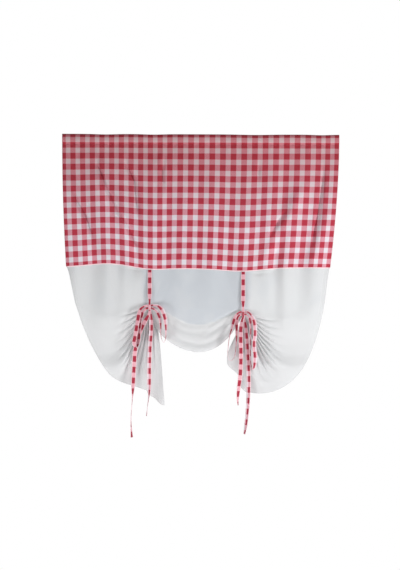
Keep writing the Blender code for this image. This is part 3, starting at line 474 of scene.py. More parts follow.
def makeGinghamPanel():
    rows = ginghamRows()
    columns = ginghamPanel["columns"]
    shares = [step / (columns - 1) for step in range(columns)]

    def point(share, row):
        height, depth, drop = row
        if height is None:
            guess = mix(stitchZ, seamLevel, drop)
            x = mix(sideX(-1, guess), sideX(1, guess), share)
            z = mix(stitchZ, seamZ(x), drop)
        else:
            z = height
            x = mix(sideX(-1, z), sideX(1, z), share)
            slack = sum(hump(x - place, spread) for place, spread in ginghamPanel["topSlack"])
            z -= ginghamPanel["topDip"] * slack * smooth((height - stitchZ) / hang["pocketHeight"])
        y = wave(x, z) + depth
        if height is None:
            y += panelPucker(x, z)
        return Vector((x, y, z))

    middle = [point(0.5, row) for row in rows]
    lengths = [0.0]
    for a, b in zip(middle, middle[1:]):
        lengths.append(lengths[-1] + math.hypot(b.y - a.y, b.z - a.z))
    topIndex = max(range(len(rows)), key=lambda i: middle[i].z)
    topLength = lengths[topIndex]

    def flatX(share):
        # the left part is gathered a little more than the right, and both edges most of all
        x, start = 0.0, 0.0
        for end, cloth in ginghamPanel["gathering"]:
            x += max(min(share, end) - start, 0.0) * cloth
            start = end
        return x

    def place(column, row):
        return point(shares[column], rows[row])

    def flat(column, row):
        down = (lengths[row] - topLength) / (lengths[-1] - topLength)
        return (flatX(shares[column]), down * ginghamPanel["repeatsDown"] * ginghamValues["repeat"])

    def edge(column, row):
        return 1.0 if row == len(rows) - 1 else 0.0

    sheet = clothSheet("ginghamCloth", columns, len(rows), place, flat, ginghamPanel["thickness"],
                       panelGingham, "edge", edge)
    return sheet, lengths[-1]


ginghamCloth, ginghamLength = makeGinghamPanel()
print("stage: gingham panel made")

# The voile panel
voilePanel = {
    "length": 0.840, "swagFrontLength": 0.400,
    "swagSag": 0.176, "swagFoldSag": 0.068, "wingSag": 0.094,
    "leftTailDrop": 0.461, "rightTailDrop": 0.368, "leftTailShift": 0.072, "rightTailShift": 0.011,
    # how far the hem swings, the power that sets where it swings most, where it starts, how far back
    "leftHem": (0.029, 0.45, 0.06, 0.012), "rightHem": (-0.085, 1.4, 0.0, 0.0), "hemSwingGrows": 0.2,
    # how far the right hem is tucked in, where, and over how much
    "rightHemTuck": (0.033, 0.78, 0.08),
    "swagLeftFall": 0.5, "swagRightFall": 0.9, "swagTopFall": 1.4, "swagFrontEase": 0.012,
    "swagFolds": 2.5, "swagFoldDepth": 0.002,
    "leftEdgeHandles": ((0.13, 0.39), (0.35, 0.96)), "rightEdgeHandles": ((0.09, 0.38), (0.18, 1.116)),
    # the left edge is held up before its corner, and drops to it in two steps
    "leftEdgeLift": 0.052, "leftEdgeRise": (0.62, 0.26),
    "leftEdgeSteps": ((0.895, 0.02, 0.4), (0.93, 0.06, 0.6)),
    "pleatsOpen": 0.12, "heldUntil": 0.05, "letGoOver": 0.5, "rippleStart": 0.1, "rippleFull": 0.3,
    "wingRipple": 0.011, "wingBelly": 0.012, "wingCrowds": 1.25,
    "wingColumns": 60, "swagColumns": 64, "upperRows": 36, "legRows": 30,
    "sideHem": 0.022, "bottomHem": 0.026, "thickness": 0.0005,
    "wingSagStart": 0.15,
    "hungUntil": 1.5, "heldFrom": 0.5,           # in lengths from the seam down to the tie
    # small crinkles: depth, scale across and down, and where they come and go
    "crinkle": 0.0015, "crinkleScale": (2.5, 34.0), "crinkleBegins": 0.06, "crinkleBelow": (0.06, 0.12),
    "crinkleFades": (0.65, 0.7),
    "swagCrinkle": 0.0016, "swagCrinkleScale": (3.0, 26.0), "swagCrinkleBend": (30.0, 1.5),
    "swagCrinkleEnds": 0.05, "swagCrinkleMiddle": 0.35,
    # cloth to one fold, and how much of the spare cloth it takes
    "foldPitch": 0.054, "foldFullness": 0.95,
    "foldSharpness": 3,                          # 1 is a plain wave, more is narrow folds in flat cloth
    "foldReach": (0.05, 0.45), "foldFade": 0.45,     # reach from the tie, high and low, and fade
    "foldBegins": (0.03, 0.15), "foldBelow": 0.10,
    # how much the folds drift and how uneven they are, each with its scale across and down
    "foldDrift": (1.6, 2.0, 6.0), "foldUneven": (0.5, 3.0, 9.0),
    # how dense the cloth looks where it is hemmed or lies in the swag's layers; where it is drawn
    # together, painted light makes it paler as well as denser
    "hemCover": 0.6, "swagCover": 0.55, "gatherPaintedLight": 0.35,
    # a crease is a valley between two low ridges
    "creaseDepth": 0.0035, "creaseWidth": 0.0045, "creaseTaper": 0.03, "creaseEnds": 0.08,
    "ridgeShare": 0.4, "ridgeWidth": 2.5,
    # valleys that the swag hangs in, through all its layers
    "swagCreases": [
        ((-0.1263, -0.8458), (-0.0675, -0.8740), (0.0039, -0.8858)),
        ((0.1872, -0.7965), (0.0932, -0.8435), (0.0392, -0.8811), (-0.0008, -0.9116)),
        ((0.1449, -0.8317), (0.0650, -0.9022), (0.0180, -0.9351), (-0.0337, -0.9445)),
        ((0.1332, -0.8834), (0.0932, -0.9304), (0.0274, -0.9610), (-0.0384, -0.9680)),
        ((-0.1465, -0.9022), (-0.0807, -0.9445), (-0.0149, -0.9633)),
    ],
}
upperLength = min(hang["leftLift"], hang["rightLift"])


def liftPoint(side):
    if side < 0:
        return Vector((hang["leftTieX"], 0.0, seamLevel - hang["leftLift"]))
    return Vector((hang["rightTieX"], 0.0, seamLevel - hang["rightLift"]))


def regionSpan(region):
    if region == "left":
        return hang["leftTieX"] - hang["gripWidth"] / 2, sideX(-1, seamLevel)
    if region == "right":
        return hang["rightTieX"] + hang["gripWidth"] / 2, sideX(1, seamLevel)
    return hang["leftTieX"] + hang["gripWidth"] / 2, hang["rightTieX"] - hang["gripWidth"] / 2


def seamStart(x):
    z = seamZ(x)
    return Vector((x, layerY(x, z, hang["seamGap"]), z))


def bezierByLength(points, steps=120):
    places = []
    for step in range(steps + 1):
        t = step / steps
        weights = ((1 - t) ** 3, 3 * t * (1 - t) ** 2, 3 * t * t * (1 - t), t ** 3)
        places.append(sum((p * w for p, w in zip(points, weights)), Vector((0.0, 0.0, 0.0))))
    lengths = [0.0]
    for a, b in zip(places, places[1:]):
        lengths.append(lengths[-1] + (b - a).length)
    return places, lengths


def outerEdge(side):
    start = Vector((sideX(side, seamLevel), 0.0, seamZ(sideX(side, seamLevel))))
    lift = liftPoint(side)
    if side < 0:
        end = lift + Vector((voilePanel["leftTailShift"], 0.0, -voilePanel["leftTailDrop"]))
        shares = voilePanel["leftEdgeHandles"]
    else:
        end = lift + Vector((voilePanel["rightTailShift"], 0.0, -voilePanel["rightTailDrop"]))
        shares = voilePanel["rightEdgeHandles"]
    span = end - start
    handles = [start + Vector((span.x * a, 0.0, span.z * b)) for a, b in shares]
    return bezierByLength([start, handles[0], handles[1], end])


def along(edge, share):
    places, lengths = edge
    goal = share * lengths[-1]
    for index in range(1, len(places)):
        if lengths[index] >= goal - 1e-9:
            part = (goal - lengths[index - 1]) / (lengths[index] - lengths[index - 1])
            return places[index - 1].lerp(places[index], part)
    return places[-1].copy()


def leftEdgeLift(share):
    start, reach = voilePanel["leftEdgeRise"]
    held = smooth((share - start) / reach)
    for start, reach, drop in voilePanel["leftEdgeSteps"]:
        held -= drop * smooth((share - start) / reach)
    return voilePanel["leftEdgeLift"] * held


def hemSwing(side, share):
    swing, power, start, back = voilePanel["leftHem"] if side < 0 else voilePanel["rightHem"]
    bow = math.sin(math.pi * share ** power) * smooth((share - start) / voilePanel["hemSwingGrows"])
    tuck, middle, reach = voilePanel["rightHemTuck"]
    return swing * bow + (tuck * hump(share - middle, reach) if side > 0 else 0.0), back * bow


def pleatDepth(pleat):
    if pleat < 0.5:
        return 0.0
    return pleat - 0.5 + math.sin(2.0 * math.pi * pleat) / (2.0 * math.pi)


def tieLine(side, x, length, pleat, zigzag):
    lift = liftPoint(side)
    if pleat <= 0.0:
        top = Vector((x, bunchFrontY, lift.z + hang["bunchHeight"] / 2 * zigzag))
        return seamStart(x).lerp(top, length / upperLength)
    point = Vector((x, 0.0, lift.z))
    point.y = bunchFrontY + hang["pleatPitch"] * pleatDepth(pleat)
    point.z += hang["bunchHeight"] / 2 * math.cos(math.pi * pleat) * zigzag
    return point


def wingPoint(side, edge, share, length, pleat):
    gripX = liftPoint(side).x + side * hang["gripWidth"] / 2
    tie = tieLine(side, gripX, length, pleat, 1.0 - smooth(share / voilePanel["pleatsOpen"]))
    rim = along(edge, length / voilePanel["length"])
    if side < 0:
        rim.z += leftEdgeLift(length / voilePanel["length"])
    low = max(length - upperLength, 0.0) / (voilePanel["length"] - upperLength)
    high = min(length / upperLength, 1.0)
    sag = voilePanel["wingSag"] * math.sin(math.pi * mix(voilePanel["wingSagStart"], 1.0, low)) * high
    x = mix(tie.x, rim.x, share)
    z = mix(tie.z, rim.z, share) - 4.0 * sag * share * (1.0 - share)
    swing, back = hemSwing(side, share)
    x += swing * low ** 4
    z += (1.0 - high) ** 2 * (seamZ(x) - mix(tie.z, rim.z, share))
    hung = seamStart(x).y * (1.0 - smooth(length / (voilePanel["hungUntil"] * upperLength)))
    held = 1.0 - smooth((share - voilePanel["heldUntil"]) / voilePanel["letGoOver"])
    held *= smooth(length / (voilePanel["heldFrom"] * upperLength))
    full = voilePanel["rippleStart"] + voilePanel["rippleFull"]
    outward = smooth((share - full) / (1.0 - full))
    ripple = voilePanel["wingRipple"]
    ripple *= smooth((share - voilePanel["rippleStart"]) / voilePanel["rippleFull"])
    ripple *= 1.0 - 0.5 * outward
    folds = -ripple * math.cos(math.pi * max(pleat, 0.0)) * high ** 2
    belly = -voilePanel["wingBelly"] * math.sin(math.pi * share)
    belly *= math.sin(math.pi * length / voilePanel["length"])
    # crinkles run from the tie towards the free edge, and are sharpest near the tie
    lost, far = voilePanel["crinkleFades"]
    top, over = voilePanel["crinkleBelow"]
    near = smooth(share / voilePanel["crinkleBegins"]) * (1.0 - lost * smooth(share / far))
    near *= smooth((length - top) / over)
    across, down = voilePanel["crinkleScale"]
    crinkle = voilePanel["crinkle"] * near
    crinkle *= noise.noise(Vector((share * across + side, length * down, 5.0)))
    return Vector((x, mix(hung + folds + belly, tie.y, held) + back * low ** 4 + crinkle, z))


def wingFold(side, edge, share, length, pleat):
    # The wefts lie closer together towards the tie, and the cloth between them stands in folds
    # that run with the wefts. They go back from the front surface.
    spot = wingPoint(side, edge, share, length, pleat)
    step = 0.004
    higher, lower = max(length - step, 0.0), min(length + step, voilePanel["length"])
    above = wingPoint(side, edge, share, higher, pleatOf(higher))
    below = wingPoint(side, edge, share, lower, pleatOf(lower))
    close = min((below - above).length / (lower - higher), 1.0)
    spare = math.sqrt(1.0 - close * close)
    pitch = voilePanel["foldPitch"]
    # 1.414 gives the height of a plain wave that takes up this much spare cloth
    size = voilePanel["foldFullness"] * pitch / (2.0 * math.pi) * 1.414 * spare
    begin, over = voilePanel["foldBegins"]
    size *= smooth((share - begin) / over) * smooth(length / voilePanel["foldBelow"])
    low = max(length - upperLength, 0.0) / (voilePanel["length"] - upperLength)
    size *= 1.0 - smooth((share - mix(*voilePanel["foldReach"], low)) / voilePanel["foldFade"])
    much, across, down = voilePanel["foldDrift"]
    drift = much * noise.noise(Vector((share * across, length * down, 20.0 + side)))
    turn = 2.0 * math.pi * length / pitch + drift
    much, across, down = voilePanel["foldUneven"]
    uneven = 0.75 + much * noise.noise(Vector((share * across, length * down, 40.0 + side)))
    spot.y += 2.0 * size * uneven * (0.5 - 0.5 * math.cos(turn)) ** voilePanel["foldSharpness"]
    return spot


def swagFoldTop(share):
    middle = mix(liftPoint(-1).z, liftPoint(1).z, share)
    droop = 4.0 * share * (1.0 - share)
    sag = (voilePanel["swagFoldSag"] + hang["bunchHeight"] / 2) * droop ** voilePanel["swagTopFall"]
    return middle + hang["bunchHeight"] / 2 - sag


def swagPoint(share, length, pleat):
    x = mix(*regionSpan("swag"), share)
    middle = mix(liftPoint(-1).z, liftPoint(1).z, share)
    droop = 4.0 * share * (1.0 - share)
    pitch = mix(hang["pleatPitch"], hang["swagPleatPitch"], droop)
    fall = mix(voilePanel["swagLeftFall"], voilePanel["swagRightFall"], share)
    bottom = middle - hang["bunchHeight"] / 2 - voilePanel["swagSag"] * droop ** fall
    foldTop = swagFoldTop(share)
    frontTop = middle + hang["bunchHeight"] / 2 - voilePanel["swagFrontEase"] * droop
    frontY = bunchFrontY * (1.0 - 0.5 * droop)
    if pleat <= 0.0:
        spot = seamStart(x).lerp(Vector((x, frontY, frontTop)), length / upperLength)
    else:
        top = frontTop if pleat < 1.0 else foldTop
        z = (top + bottom) / 2 + (top - bottom) / 2 * math.cos(math.pi * pleat)
        spot = Vector((x, frontY + pitch * pleatDepth(pleat), z))
    down = (foldTop - spot.z) / (foldTop - bottom)
    depth = voilePanel["swagFoldDepth"] * smooth(down / 0.2) * smooth(2.0 * droop)
    spot.y -= depth * math.sin(2.0 * math.pi * voilePanel["swagFolds"] * down)
    least = voilePanel["swagCrinkleMiddle"]
    near = smooth(length / voilePanel["foldBelow"]) * (least + (1.0 - least) * (1.0 - droop))
    near *= smooth(share / voilePanel["swagCrinkleEnds"])
    near *= smooth((1.0 - share) / voilePanel["swagCrinkleEnds"])
    across, down = voilePanel["swagCrinkleScale"]
    bend, power = voilePanel["swagCrinkleBend"]
    bent = spot.z * down + bend * abs(share - 0.5) ** power
    spot.y += voilePanel["swagCrinkle"] * near * noise.noise(Vector((x * across, bent, 11.0)))
    ends = smooth(share / voilePanel["creaseEnds"]) * smooth((1.0 - share) / voilePanel["creaseEnds"])
    width, taper = voilePanel["creaseWidth"], voilePanel["creaseTaper"]
    beside = voilePanel["ridgeShare"]
    valley = nearLine(voilePanel["swagCreases"], x, spot.z, width, taper)
    ridge = nearLine(voilePanel["swagCreases"], x, spot.z, voilePanel["ridgeWidth"] * width, taper)
    spot.y += voilePanel["creaseDepth"] * ends * ((1.0 + beside) * valley - beside * ridge)
    return spot


def pleatOf(length):
    # which leg of the pleats a length of cloth lies in
    if length <= upperLength + 1e-9:
        return 0.0
    if length < voilePanel["swagFrontLength"]:
        return (length - upperLength) / (voilePanel["swagFrontLength"] - upperLength)
    spare = (voilePanel["length"] - voilePanel["swagFrontLength"]) / (hang["pleatLegs"] - 1)
    return 1.0 + (length - voilePanel["swagFrontLength"]) / spare


def makeVoilePanel():
    steps = voilePanel["wingColumns"]
    wing = [(step / steps) ** voilePanel["wingCrowds"] for step in range(steps + 1)]
    columns = [("left", share) for share in reversed(wing)]
    steps = voilePanel["swagColumns"]
    columns += [("swag", step / steps) for step in range(steps + 1)]
    columns += [("right", share) for share in wing]
    edges = {"left": outerEdge(-1), "right": outerEdge(1)}
    sides = {"left": -1, "right": 1}
    lengths = [-hang["seamLap"], -hang["seamLap"] / 2]
    steps = voilePanel["upperRows"]
    lengths += [mix(0.0, upperLength, step / steps) for step in range(steps)]
    front, laterLegs = voilePanel["swagFrontLength"], hang["pleatLegs"] - 1
    spare = (voilePanel["length"] - front) / laterLegs
    legEnds = [upperLength, front] + [front + spare * (leg + 1) for leg in range(laterLegs)]
    steps = voilePanel["legRows"]
    for start, end in zip(legEnds, legEnds[1:]):
        lengths += [mix(start, end, step / steps) for step in range(steps)]
    lengths.append(voilePanel["length"])
    left, right = sideX(-1, seamLevel), sideX(1, seamLevel)

    def seamShare(column):
        region, share = columns[column]
        return (mix(*regionSpan(region), share) - left) / (right - left)

    def place(column, row):
        region, share = columns[column]
        length = lengths[row]
        if length < 0.0:
            x = mix(left, right, seamShare(column))
            z = seamZ(x) - length
            return Vector((x, layerY(x, z, hang["seamGap"]), z))
        pleat = pleatOf(length)
        if region == "swag":
            return swagPoint(share, length, pleat)
        return wingFold(sides[region], edges[region], share, length, pleat)

    def flat(column, row):
        return (seamShare(column) * hang["flatWidth"], -lengths[row])

    def layersAndPaintedLight(column, row):
        region, share = columns[column]
        length = lengths[row]
        fromSide = min(seamShare(column), 1.0 - seamShare(column)) * hang["flatWidth"]
        low = length > voilePanel["length"] - voilePanel["bottomHem"]
        hem = voilePanel["hemCover"] if low or fromSide < voilePanel["sideHem"] else 0.0
        if region == "swag":
            z = place(column, row).z
            stacked = smooth((swagFoldTop(share) + 0.004 - z) / 0.008)
            return max(hem, voilePanel["swagCover"] * stacked)
        # painted light: the wings are made paler a little way out from the tie and more so lower down,
        # standing in for light coming through the crinkled cloth
        cover = voilePanel["gatherPaintedLight"]
        return max(hem, cover * smooth(share / 0.12) + cover * smooth((length - 0.10) / 0.25))

    return clothSheet("voileCloth", len(columns), len(lengths), place, flat,
                      voilePanel["thickness"], voile, "layersAndPaintedLight", layersAndPaintedLight)


voileCloth = makeVoilePanel()
print("stage: voile panel made")

# The ties. Each route runs from the middle of its knot, as x, y, z and the way its width lies.
tieValues = {
    "width": 0.020, "knotWidth": 0.010, "knotLayer": 0.0026, "thickness": 0.0010,
    "routeSteps": 8, "across": 8, "cup": 0.0011, "scrunch": 0.0007, "waist": 0.03,
    "strapGap": 0.0018, "knotFlatReach": 0.016, "knotReach": 0.022, "knotOpensOver": 0.045,
    # how far across the check each tie was cut, in metres
    "leftFrontTieCut": -0.010, "leftRearTieCut": 0.0,
    "rightFrontTieCut": -0.0095, "rightRearTieCut": 0.0,
}
tieLayers = {name: -share * tieValues["knotLayer"] for name, share in (
    ("rearRise", 0.5), ("rearTail", 1.4), ("frontTail", 2.3), ("frontRise", 3.3), ("wrap", 4.4))}
flatWay = (-1.0, 0.0, 0.0)      # a strap that lies flat to the front


def knotPoint(side):
    return liftPoint(side) + Vector((0.0, bunchFrontY - 0.0005, 0.0))


def frontStart(side):
    ahead = Vector((0.0, -0.0004 - tieValues["strapGap"], 0.0))
    start = seamStart(liftPoint(side).x) + ahead - knotPoint(side)
    wrap, rise = tieLayers["wrap"], tieLayers["frontRise"]
    return [
        (0.0, start.y, start.z - 0.001, flatWay),
        (0.0, mix(start.y, wrap, 0.35), mix(start.z, 0.024, 0.3), flatWay),
        (0.0, mix(start.y, wrap, 0.75), mix(start.z, 0.024, 0.7), flatWay),
        (0.0, wrap, 0.024, flatWay),
        (0.0, wrap - 0.0010, 0.006, flatWay),
        (0.0, wrap, -0.010, flatWay),
        (0.0, (wrap + rise) / 2, -0.0165, flatWay),
        (0.0, rise, -0.010, flatWay),
        (-0.001, rise, 0.0, (-1.0, 0.0, -0.15)),
        (-0.006, rise, 0.006, (-0.7, 0.0, -0.7)),
    ]


def rearStart(side):
    start = seamStart(liftPoint(side).x) + Vector((0.0, 0.0020, 0.0)) - knotPoint(side)
    back = bunchDepth + 0.0026
    under = -hang["bunchHeight"] / 2 - 0.0062
    rise = tieLayers["rearRise"]
    return [
        (0.0, start.y, start.z - 0.001, flatWay),
        (0.0, mix(start.y, back, 0.5), mix(start.z, 0.0, 0.35), flatWay),
        (0.0, back, 0.045, flatWay),
        (0.0, back + 0.001, 0.0, flatWay),
        (0.0, back + 0.001, -hang["bunchHeight"] / 2, flatWay),
        (0.0, back * 0.7, under, flatWay),
        (0.0, back * 0.25, under, flatWay),
        (0.0, rise + 0.0004, -hang["bunchHeight"] / 2, flatWay),
        (0.001, rise, -0.004, (-1.0, 0.0, 0.1)),
        (0.006, rise, 0.007, (-0.7, 0.0, 0.7)),
    ]


routes = {}
routes["leftFrontTie"] = frontStart(-1) + [
    (-0.022, -0.0125, 0.005, (0.0, 0.0, -1.0)),
    (-0.044, -0.024, -0.014, (0.7, 0.0, -0.7)),
    (-0.056, -0.034, -0.070, (1.0, -0.35, 0.0)),
    (-0.065, -0.038, -0.127, (1.0, -0.2, 0.0)),
    (-0.071, -0.040, -0.165, (1.0, -0.3, 0.0)),
    (-0.062, -0.034, -0.190, (0.5, -0.9, 0.0)),
    (-0.052, -0.028, -0.165, (0.8, -0.6, 0.0)),
    (-0.047, -0.026, -0.125, (0.7, -0.7, 0.0)),
    (-0.044, -0.024, -0.070, (0.8, -0.6, 0.0)),
    (-0.033, -0.016, -0.026, (0.8, -0.1, -0.6)),
    (-0.018, -0.0085, -0.009, (0.2, 0.0, -1.0)),
    (-0.005, tieLayers["frontTail"], -0.004, (-0.3, 0.0, -0.9)),
    (0.0004, tieLayers["frontTail"], -0.013, (-1.0, 0.0, -0.1)),
    (-0.005, -0.0100, -0.036, flatWay),
    (-0.024, -0.0130, -0.072, flatWay),
    (-0.048, -0.0150, -0.125, flatWay),
    (-0.065, -0.0155, -0.190, (-1.0, -0.1, 0.0)),
    (-0.071, -0.017, -0.270, (-1.0, -0.1, 0.0)),
    (-0.075, -0.017, -0.355, (-1.0, -0.5, 0.0)),
    (-0.079, -0.016, -0.430, (-0.15, -1.0, 0.0)),
    (-0.085, -0.015, -0.530, (-0.1, -1.0, 0.0)),
    (-0.081, -0.014, -0.611, (-0.5, -0.8, 0.0)),
]

routes["leftRearTie"] = rearStart(-1) + [
    (0.020, -0.0055, 0.010, (0.0, 0.0, 1.0)),
    (0.040, -0.014, 0.006, (0.3, 0.0, 1.0)),
    (0.060, -0.021, -0.014, (0.8, 0.0, 0.6)),
    (0.073, -0.025, -0.050, (1.0, 0.3, 0.0)),
    (0.077, -0.026, -0.090, (0.6, 0.8, 0.0)),
    (0.077, -0.026, -0.135, (0.2, 1.0, 0.0)),
    (0.068, -0.025, -0.164, (0.0, 1.0, 0.0)),
    (0.055, -0.024, -0.140, (0.1, 1.0, 0.0)),
    (0.053, -0.023, -0.090, (0.4, 0.9, 0.0)),
    (0.048, -0.020, -0.048, (0.8, 0.6, 0.2)),
    (0.034, -0.013, -0.019, (0.6, 0.2, 0.8)),
    (0.018, -0.0065, -0.007, (0.1, 0.0, 1.0)),
    (0.006, tieLayers["rearTail"], -0.003, (-0.5, 0.0, 0.8)),
    (0.002, tieLayers["rearTail"], -0.016, flatWay),
    (0.007, -0.0060, -0.046, flatWay),
    (0.008, -0.0125, -0.110, (-1.0, 0.1, 0.0)),
    (0.003, -0.019, -0.180, (-1.0, 0.2, 0.0)),
    (0.000, -0.021, -0.270, (-1.0, 0.1, 0.0)),
    (0.000, -0.021, -0.350, (-1.0, 0.3, 0.0)),
    (-0.001, -0.020, -0.410, (-0.4, 0.9, 0.0)),
    (-0.007, -0.019, -0.460, (-0.1, 1.0, 0.0)),
    (-0.012, -0.018, -0.510, (-0.2, 1.0, 0.0)),
]

routes["rightFrontTie"] = frontStart(1) + [
    (-0.020, -0.0125, 0.004, (0.0, 0.0, -1.0)),
    (-0.038, -0.018, -0.018, (0.6, -0.2, -0.7)),
    (-0.052, -0.022, -0.068, (0.5, -0.9, 0.0)),
    (-0.064, -0.024, -0.112, (0.15, -1.0, 0.0)),
    (-0.070, -0.024, -0.165, (0.1, -1.0, 0.0)),
    (-0.070, -0.023, -0.205, (0.0, -1.0, 0.0)),
    (-0.056, -0.022, -0.221, (0.0, -1.0, 0.0)),
    (-0.039, -0.021, -0.200, (0.1, -1.0, 0.0)),
    (-0.032, -0.019, -0.145, (0.2, -1.0, 0.0)),
    (-0.030, -0.017, -0.075, (0.6, -0.8, 0.0)),
    (-0.029, -0.014, -0.028, (0.9, -0.2, -0.4)),
    (-0.018, -0.0088, -0.009, (0.5, 0.0, -0.8)),
    (-0.005, tieLayers["frontTail"], -0.005, (-0.3, 0.0, -0.9)),
    (0.0004, tieLayers["frontTail"], -0.014, (-1.0, 0.0, -0.1)),
    (-0.006, -0.0120, -0.036, flatWay),
    (-0.011, -0.029, -0.075, flatWay),
    (-0.011, -0.038, -0.130, flatWay),
    (-0.010, -0.040, -0.220, flatWay),
    (-0.013, -0.037, -0.290, flatWay),
    (-0.020, -0.034, -0.350, (-1.0, -0.5, 0.0)),
    (-0.024, -0.031, -0.400, (-0.5, -0.9, 0.0)),
    (-0.022, -0.029, -0.430, (-0.2, -1.0, 0.0)),
]

routes["rightRearTie"] = rearStart(1) + [
    (0.018, -0.0055, 0.009, (0.0, 0.0, 1.0)),
    (0.036, -0.013, -0.004, (0.5, 0.0, 0.8)),
    (0.052, -0.021, -0.038, (1.0, 0.3, 0.2)),
    (0.057, -0.027, -0.090, (0.9, 0.5, 0.0)),
    (0.052, -0.031, -0.145, (0.9, 0.4, 0.0)),
    (0.057, -0.034, -0.200, (1.0, 0.2, 0.0)),
    (0.054, -0.036, -0.240, (0.8, 0.6, 0.0)),
    (0.046, -0.031, -0.262, (0.3, 0.9, 0.0)),
    (0.037, -0.024, -0.235, (0.3, 0.9, 0.0)),
    (0.034, -0.021, -0.150, (0.4, 1.0, 0.0)),
    (0.036, -0.019, -0.070, (0.5, 0.9, 0.0)),
    (0.031, -0.014, -0.020, (0.7, 0.2, 0.7)),
    (0.018, -0.0068, -0.006, (0.1, 0.0, 1.0)),
    (0.006, tieLayers["rearTail"], -0.003, (-0.5, 0.0, 0.8)),
    (0.002, tieLayers["rearTail"], -0.015, flatWay),
    (0.009, -0.0055, -0.048, flatWay),
    (0.016, -0.0060, -0.110, (-1.0, 0.1, 0.0)),
    (0.022, -0.0070, -0.200, (-1.0, 0.1, 0.0)),
    (0.027, -0.0080, -0.300, (-1.0, 0.2, 0.0)),
    (0.026, -0.0100, -0.380, (-0.9, 0.4, 0.0)),
    (0.022, -0.0120, -0.450, (-0.8, 0.6, 0.0)),
    (0.015, -0.0120, -0.520, (-0.7, 0.7, 0.0)),
    (0.008, -0.0110, -0.566, (-0.4, 0.9, 0.0)),
]


def smoothRoute(stations):
    rows = [list(place) + list(way) for *place, way in stations]
    rows = [rows[0]] + rows + [rows[-1]]
    steps = tieValues["routeSteps"]
    route = []
    for index in range(1, len(rows) - 2):
        before, here, there, after = rows[index - 1:index + 3]
        for step in range(steps):
            t = step / steps
            route.append([
                0.5 * (2 * b + (c - a) * t + (2 * a - 5 * b + 4 * c - d) * t * t
                       + (3 * b - a - 3 * c + d) * t ** 3)
                for a, b, c, d in zip(before, here, there, after)
            ])
    route.append(rows[-1])
    return route


def makeTie(name, side, seed):
    # A flat strip that cups a little over its width, and is drawn into small folds at the knot
    route = smoothRoute(routes[name])
    places = [Vector(row[:3]) for row in route]
    across = tieValues["across"]
    lines = []
    lengths = [0.0]
    for a, b in zip(places, places[1:]):
        lengths.append(lengths[-1] + (b - a).length)
    for index, row in enumerate(route):
        ahead = places[min(index + 1, len(places) - 1)]
        behind = places[max(index - 1, 0)]
        run = (ahead - behind).normalized()
        way = Vector(row[3:])
        way = (way - run * way.dot(run)).normalized()
        offKnot = Vector((places[index].x, 0.0, places[index].z)).length
        way.y *= smooth((offKnot - tieValues["knotFlatReach"]) / tieValues["knotFlatReach"])
        out = run.cross(way).normalized()
        tight = 1.0 - smooth((offKnot - tieValues["knotReach"]) / tieValues["knotOpensOver"])
        half = mix(tieValues["width"], tieValues["knotWidth"], tight) / 2
        half *= 1.0 + tieValues["waist"] * noise.noise(Vector((lengths[index] * 20.0, seed, 0.0)))
        cup = tieValues["cup"] * (0.6 + 0.8 * noise.noise(Vector((lengths[index] * 9.0, seed, 4.0))))
        cup *= 1.0 - tight
        middle = places[index] + knotPoint(side)
        line = []
        for step in range(across + 1):
            share = step / across
            lift = cup * (1.0 - (2.0 * share - 1.0) ** 2)
            lift += tieValues["scrunch"] * tight * math.cos(4.0 * math.pi * share)
            line.append(middle + way * half * (2.0 * share - 1.0) + out * lift)
        lines.append(line)

    def place(column, row):
        return lines[row][column]

    def flat(column, row):
        return (column / across * tieValues["width"] + tieValues[name + "Cut"], lengths[row])

    def edge(column, row):
        return 1.0 if column in (0, across) else 0.0

    sheet = clothSheet(name, across + 1, len(lines), place, flat, tieValues["thickness"],
                       tieGingham, "edge", edge)
    return sheet, lengths[-1]


ties = {}
for tieName, tieSide, tieSeed in (("leftFrontTie", -1, 1.0), ("leftRearTie", -1, 2.0),
                                  ("rightFrontTie", 1, 3.0), ("rightRearTie", 1, 4.0)):
    ties[tieName] = makeTie(tieName, tieSide, tieSeed)
    print("tie", tieName, "length", round(ties[tieName][1], 3))
print("stage: ties made")

# Sewing thread: rows of stitches beside the hems, along the pocket and above the seam
stitchValues = {
    "pitch": 0.0032, "length": 0.0025, "thread": 0.0005,   # real thread is about 0.3 mm
    "sides": 6, "standsOut": 0.3,       # the share of its width that a thread lies off the cloth
    "ginghamHem": 2, "voileHem": 3,     # columns of the grid in from the side edges
}


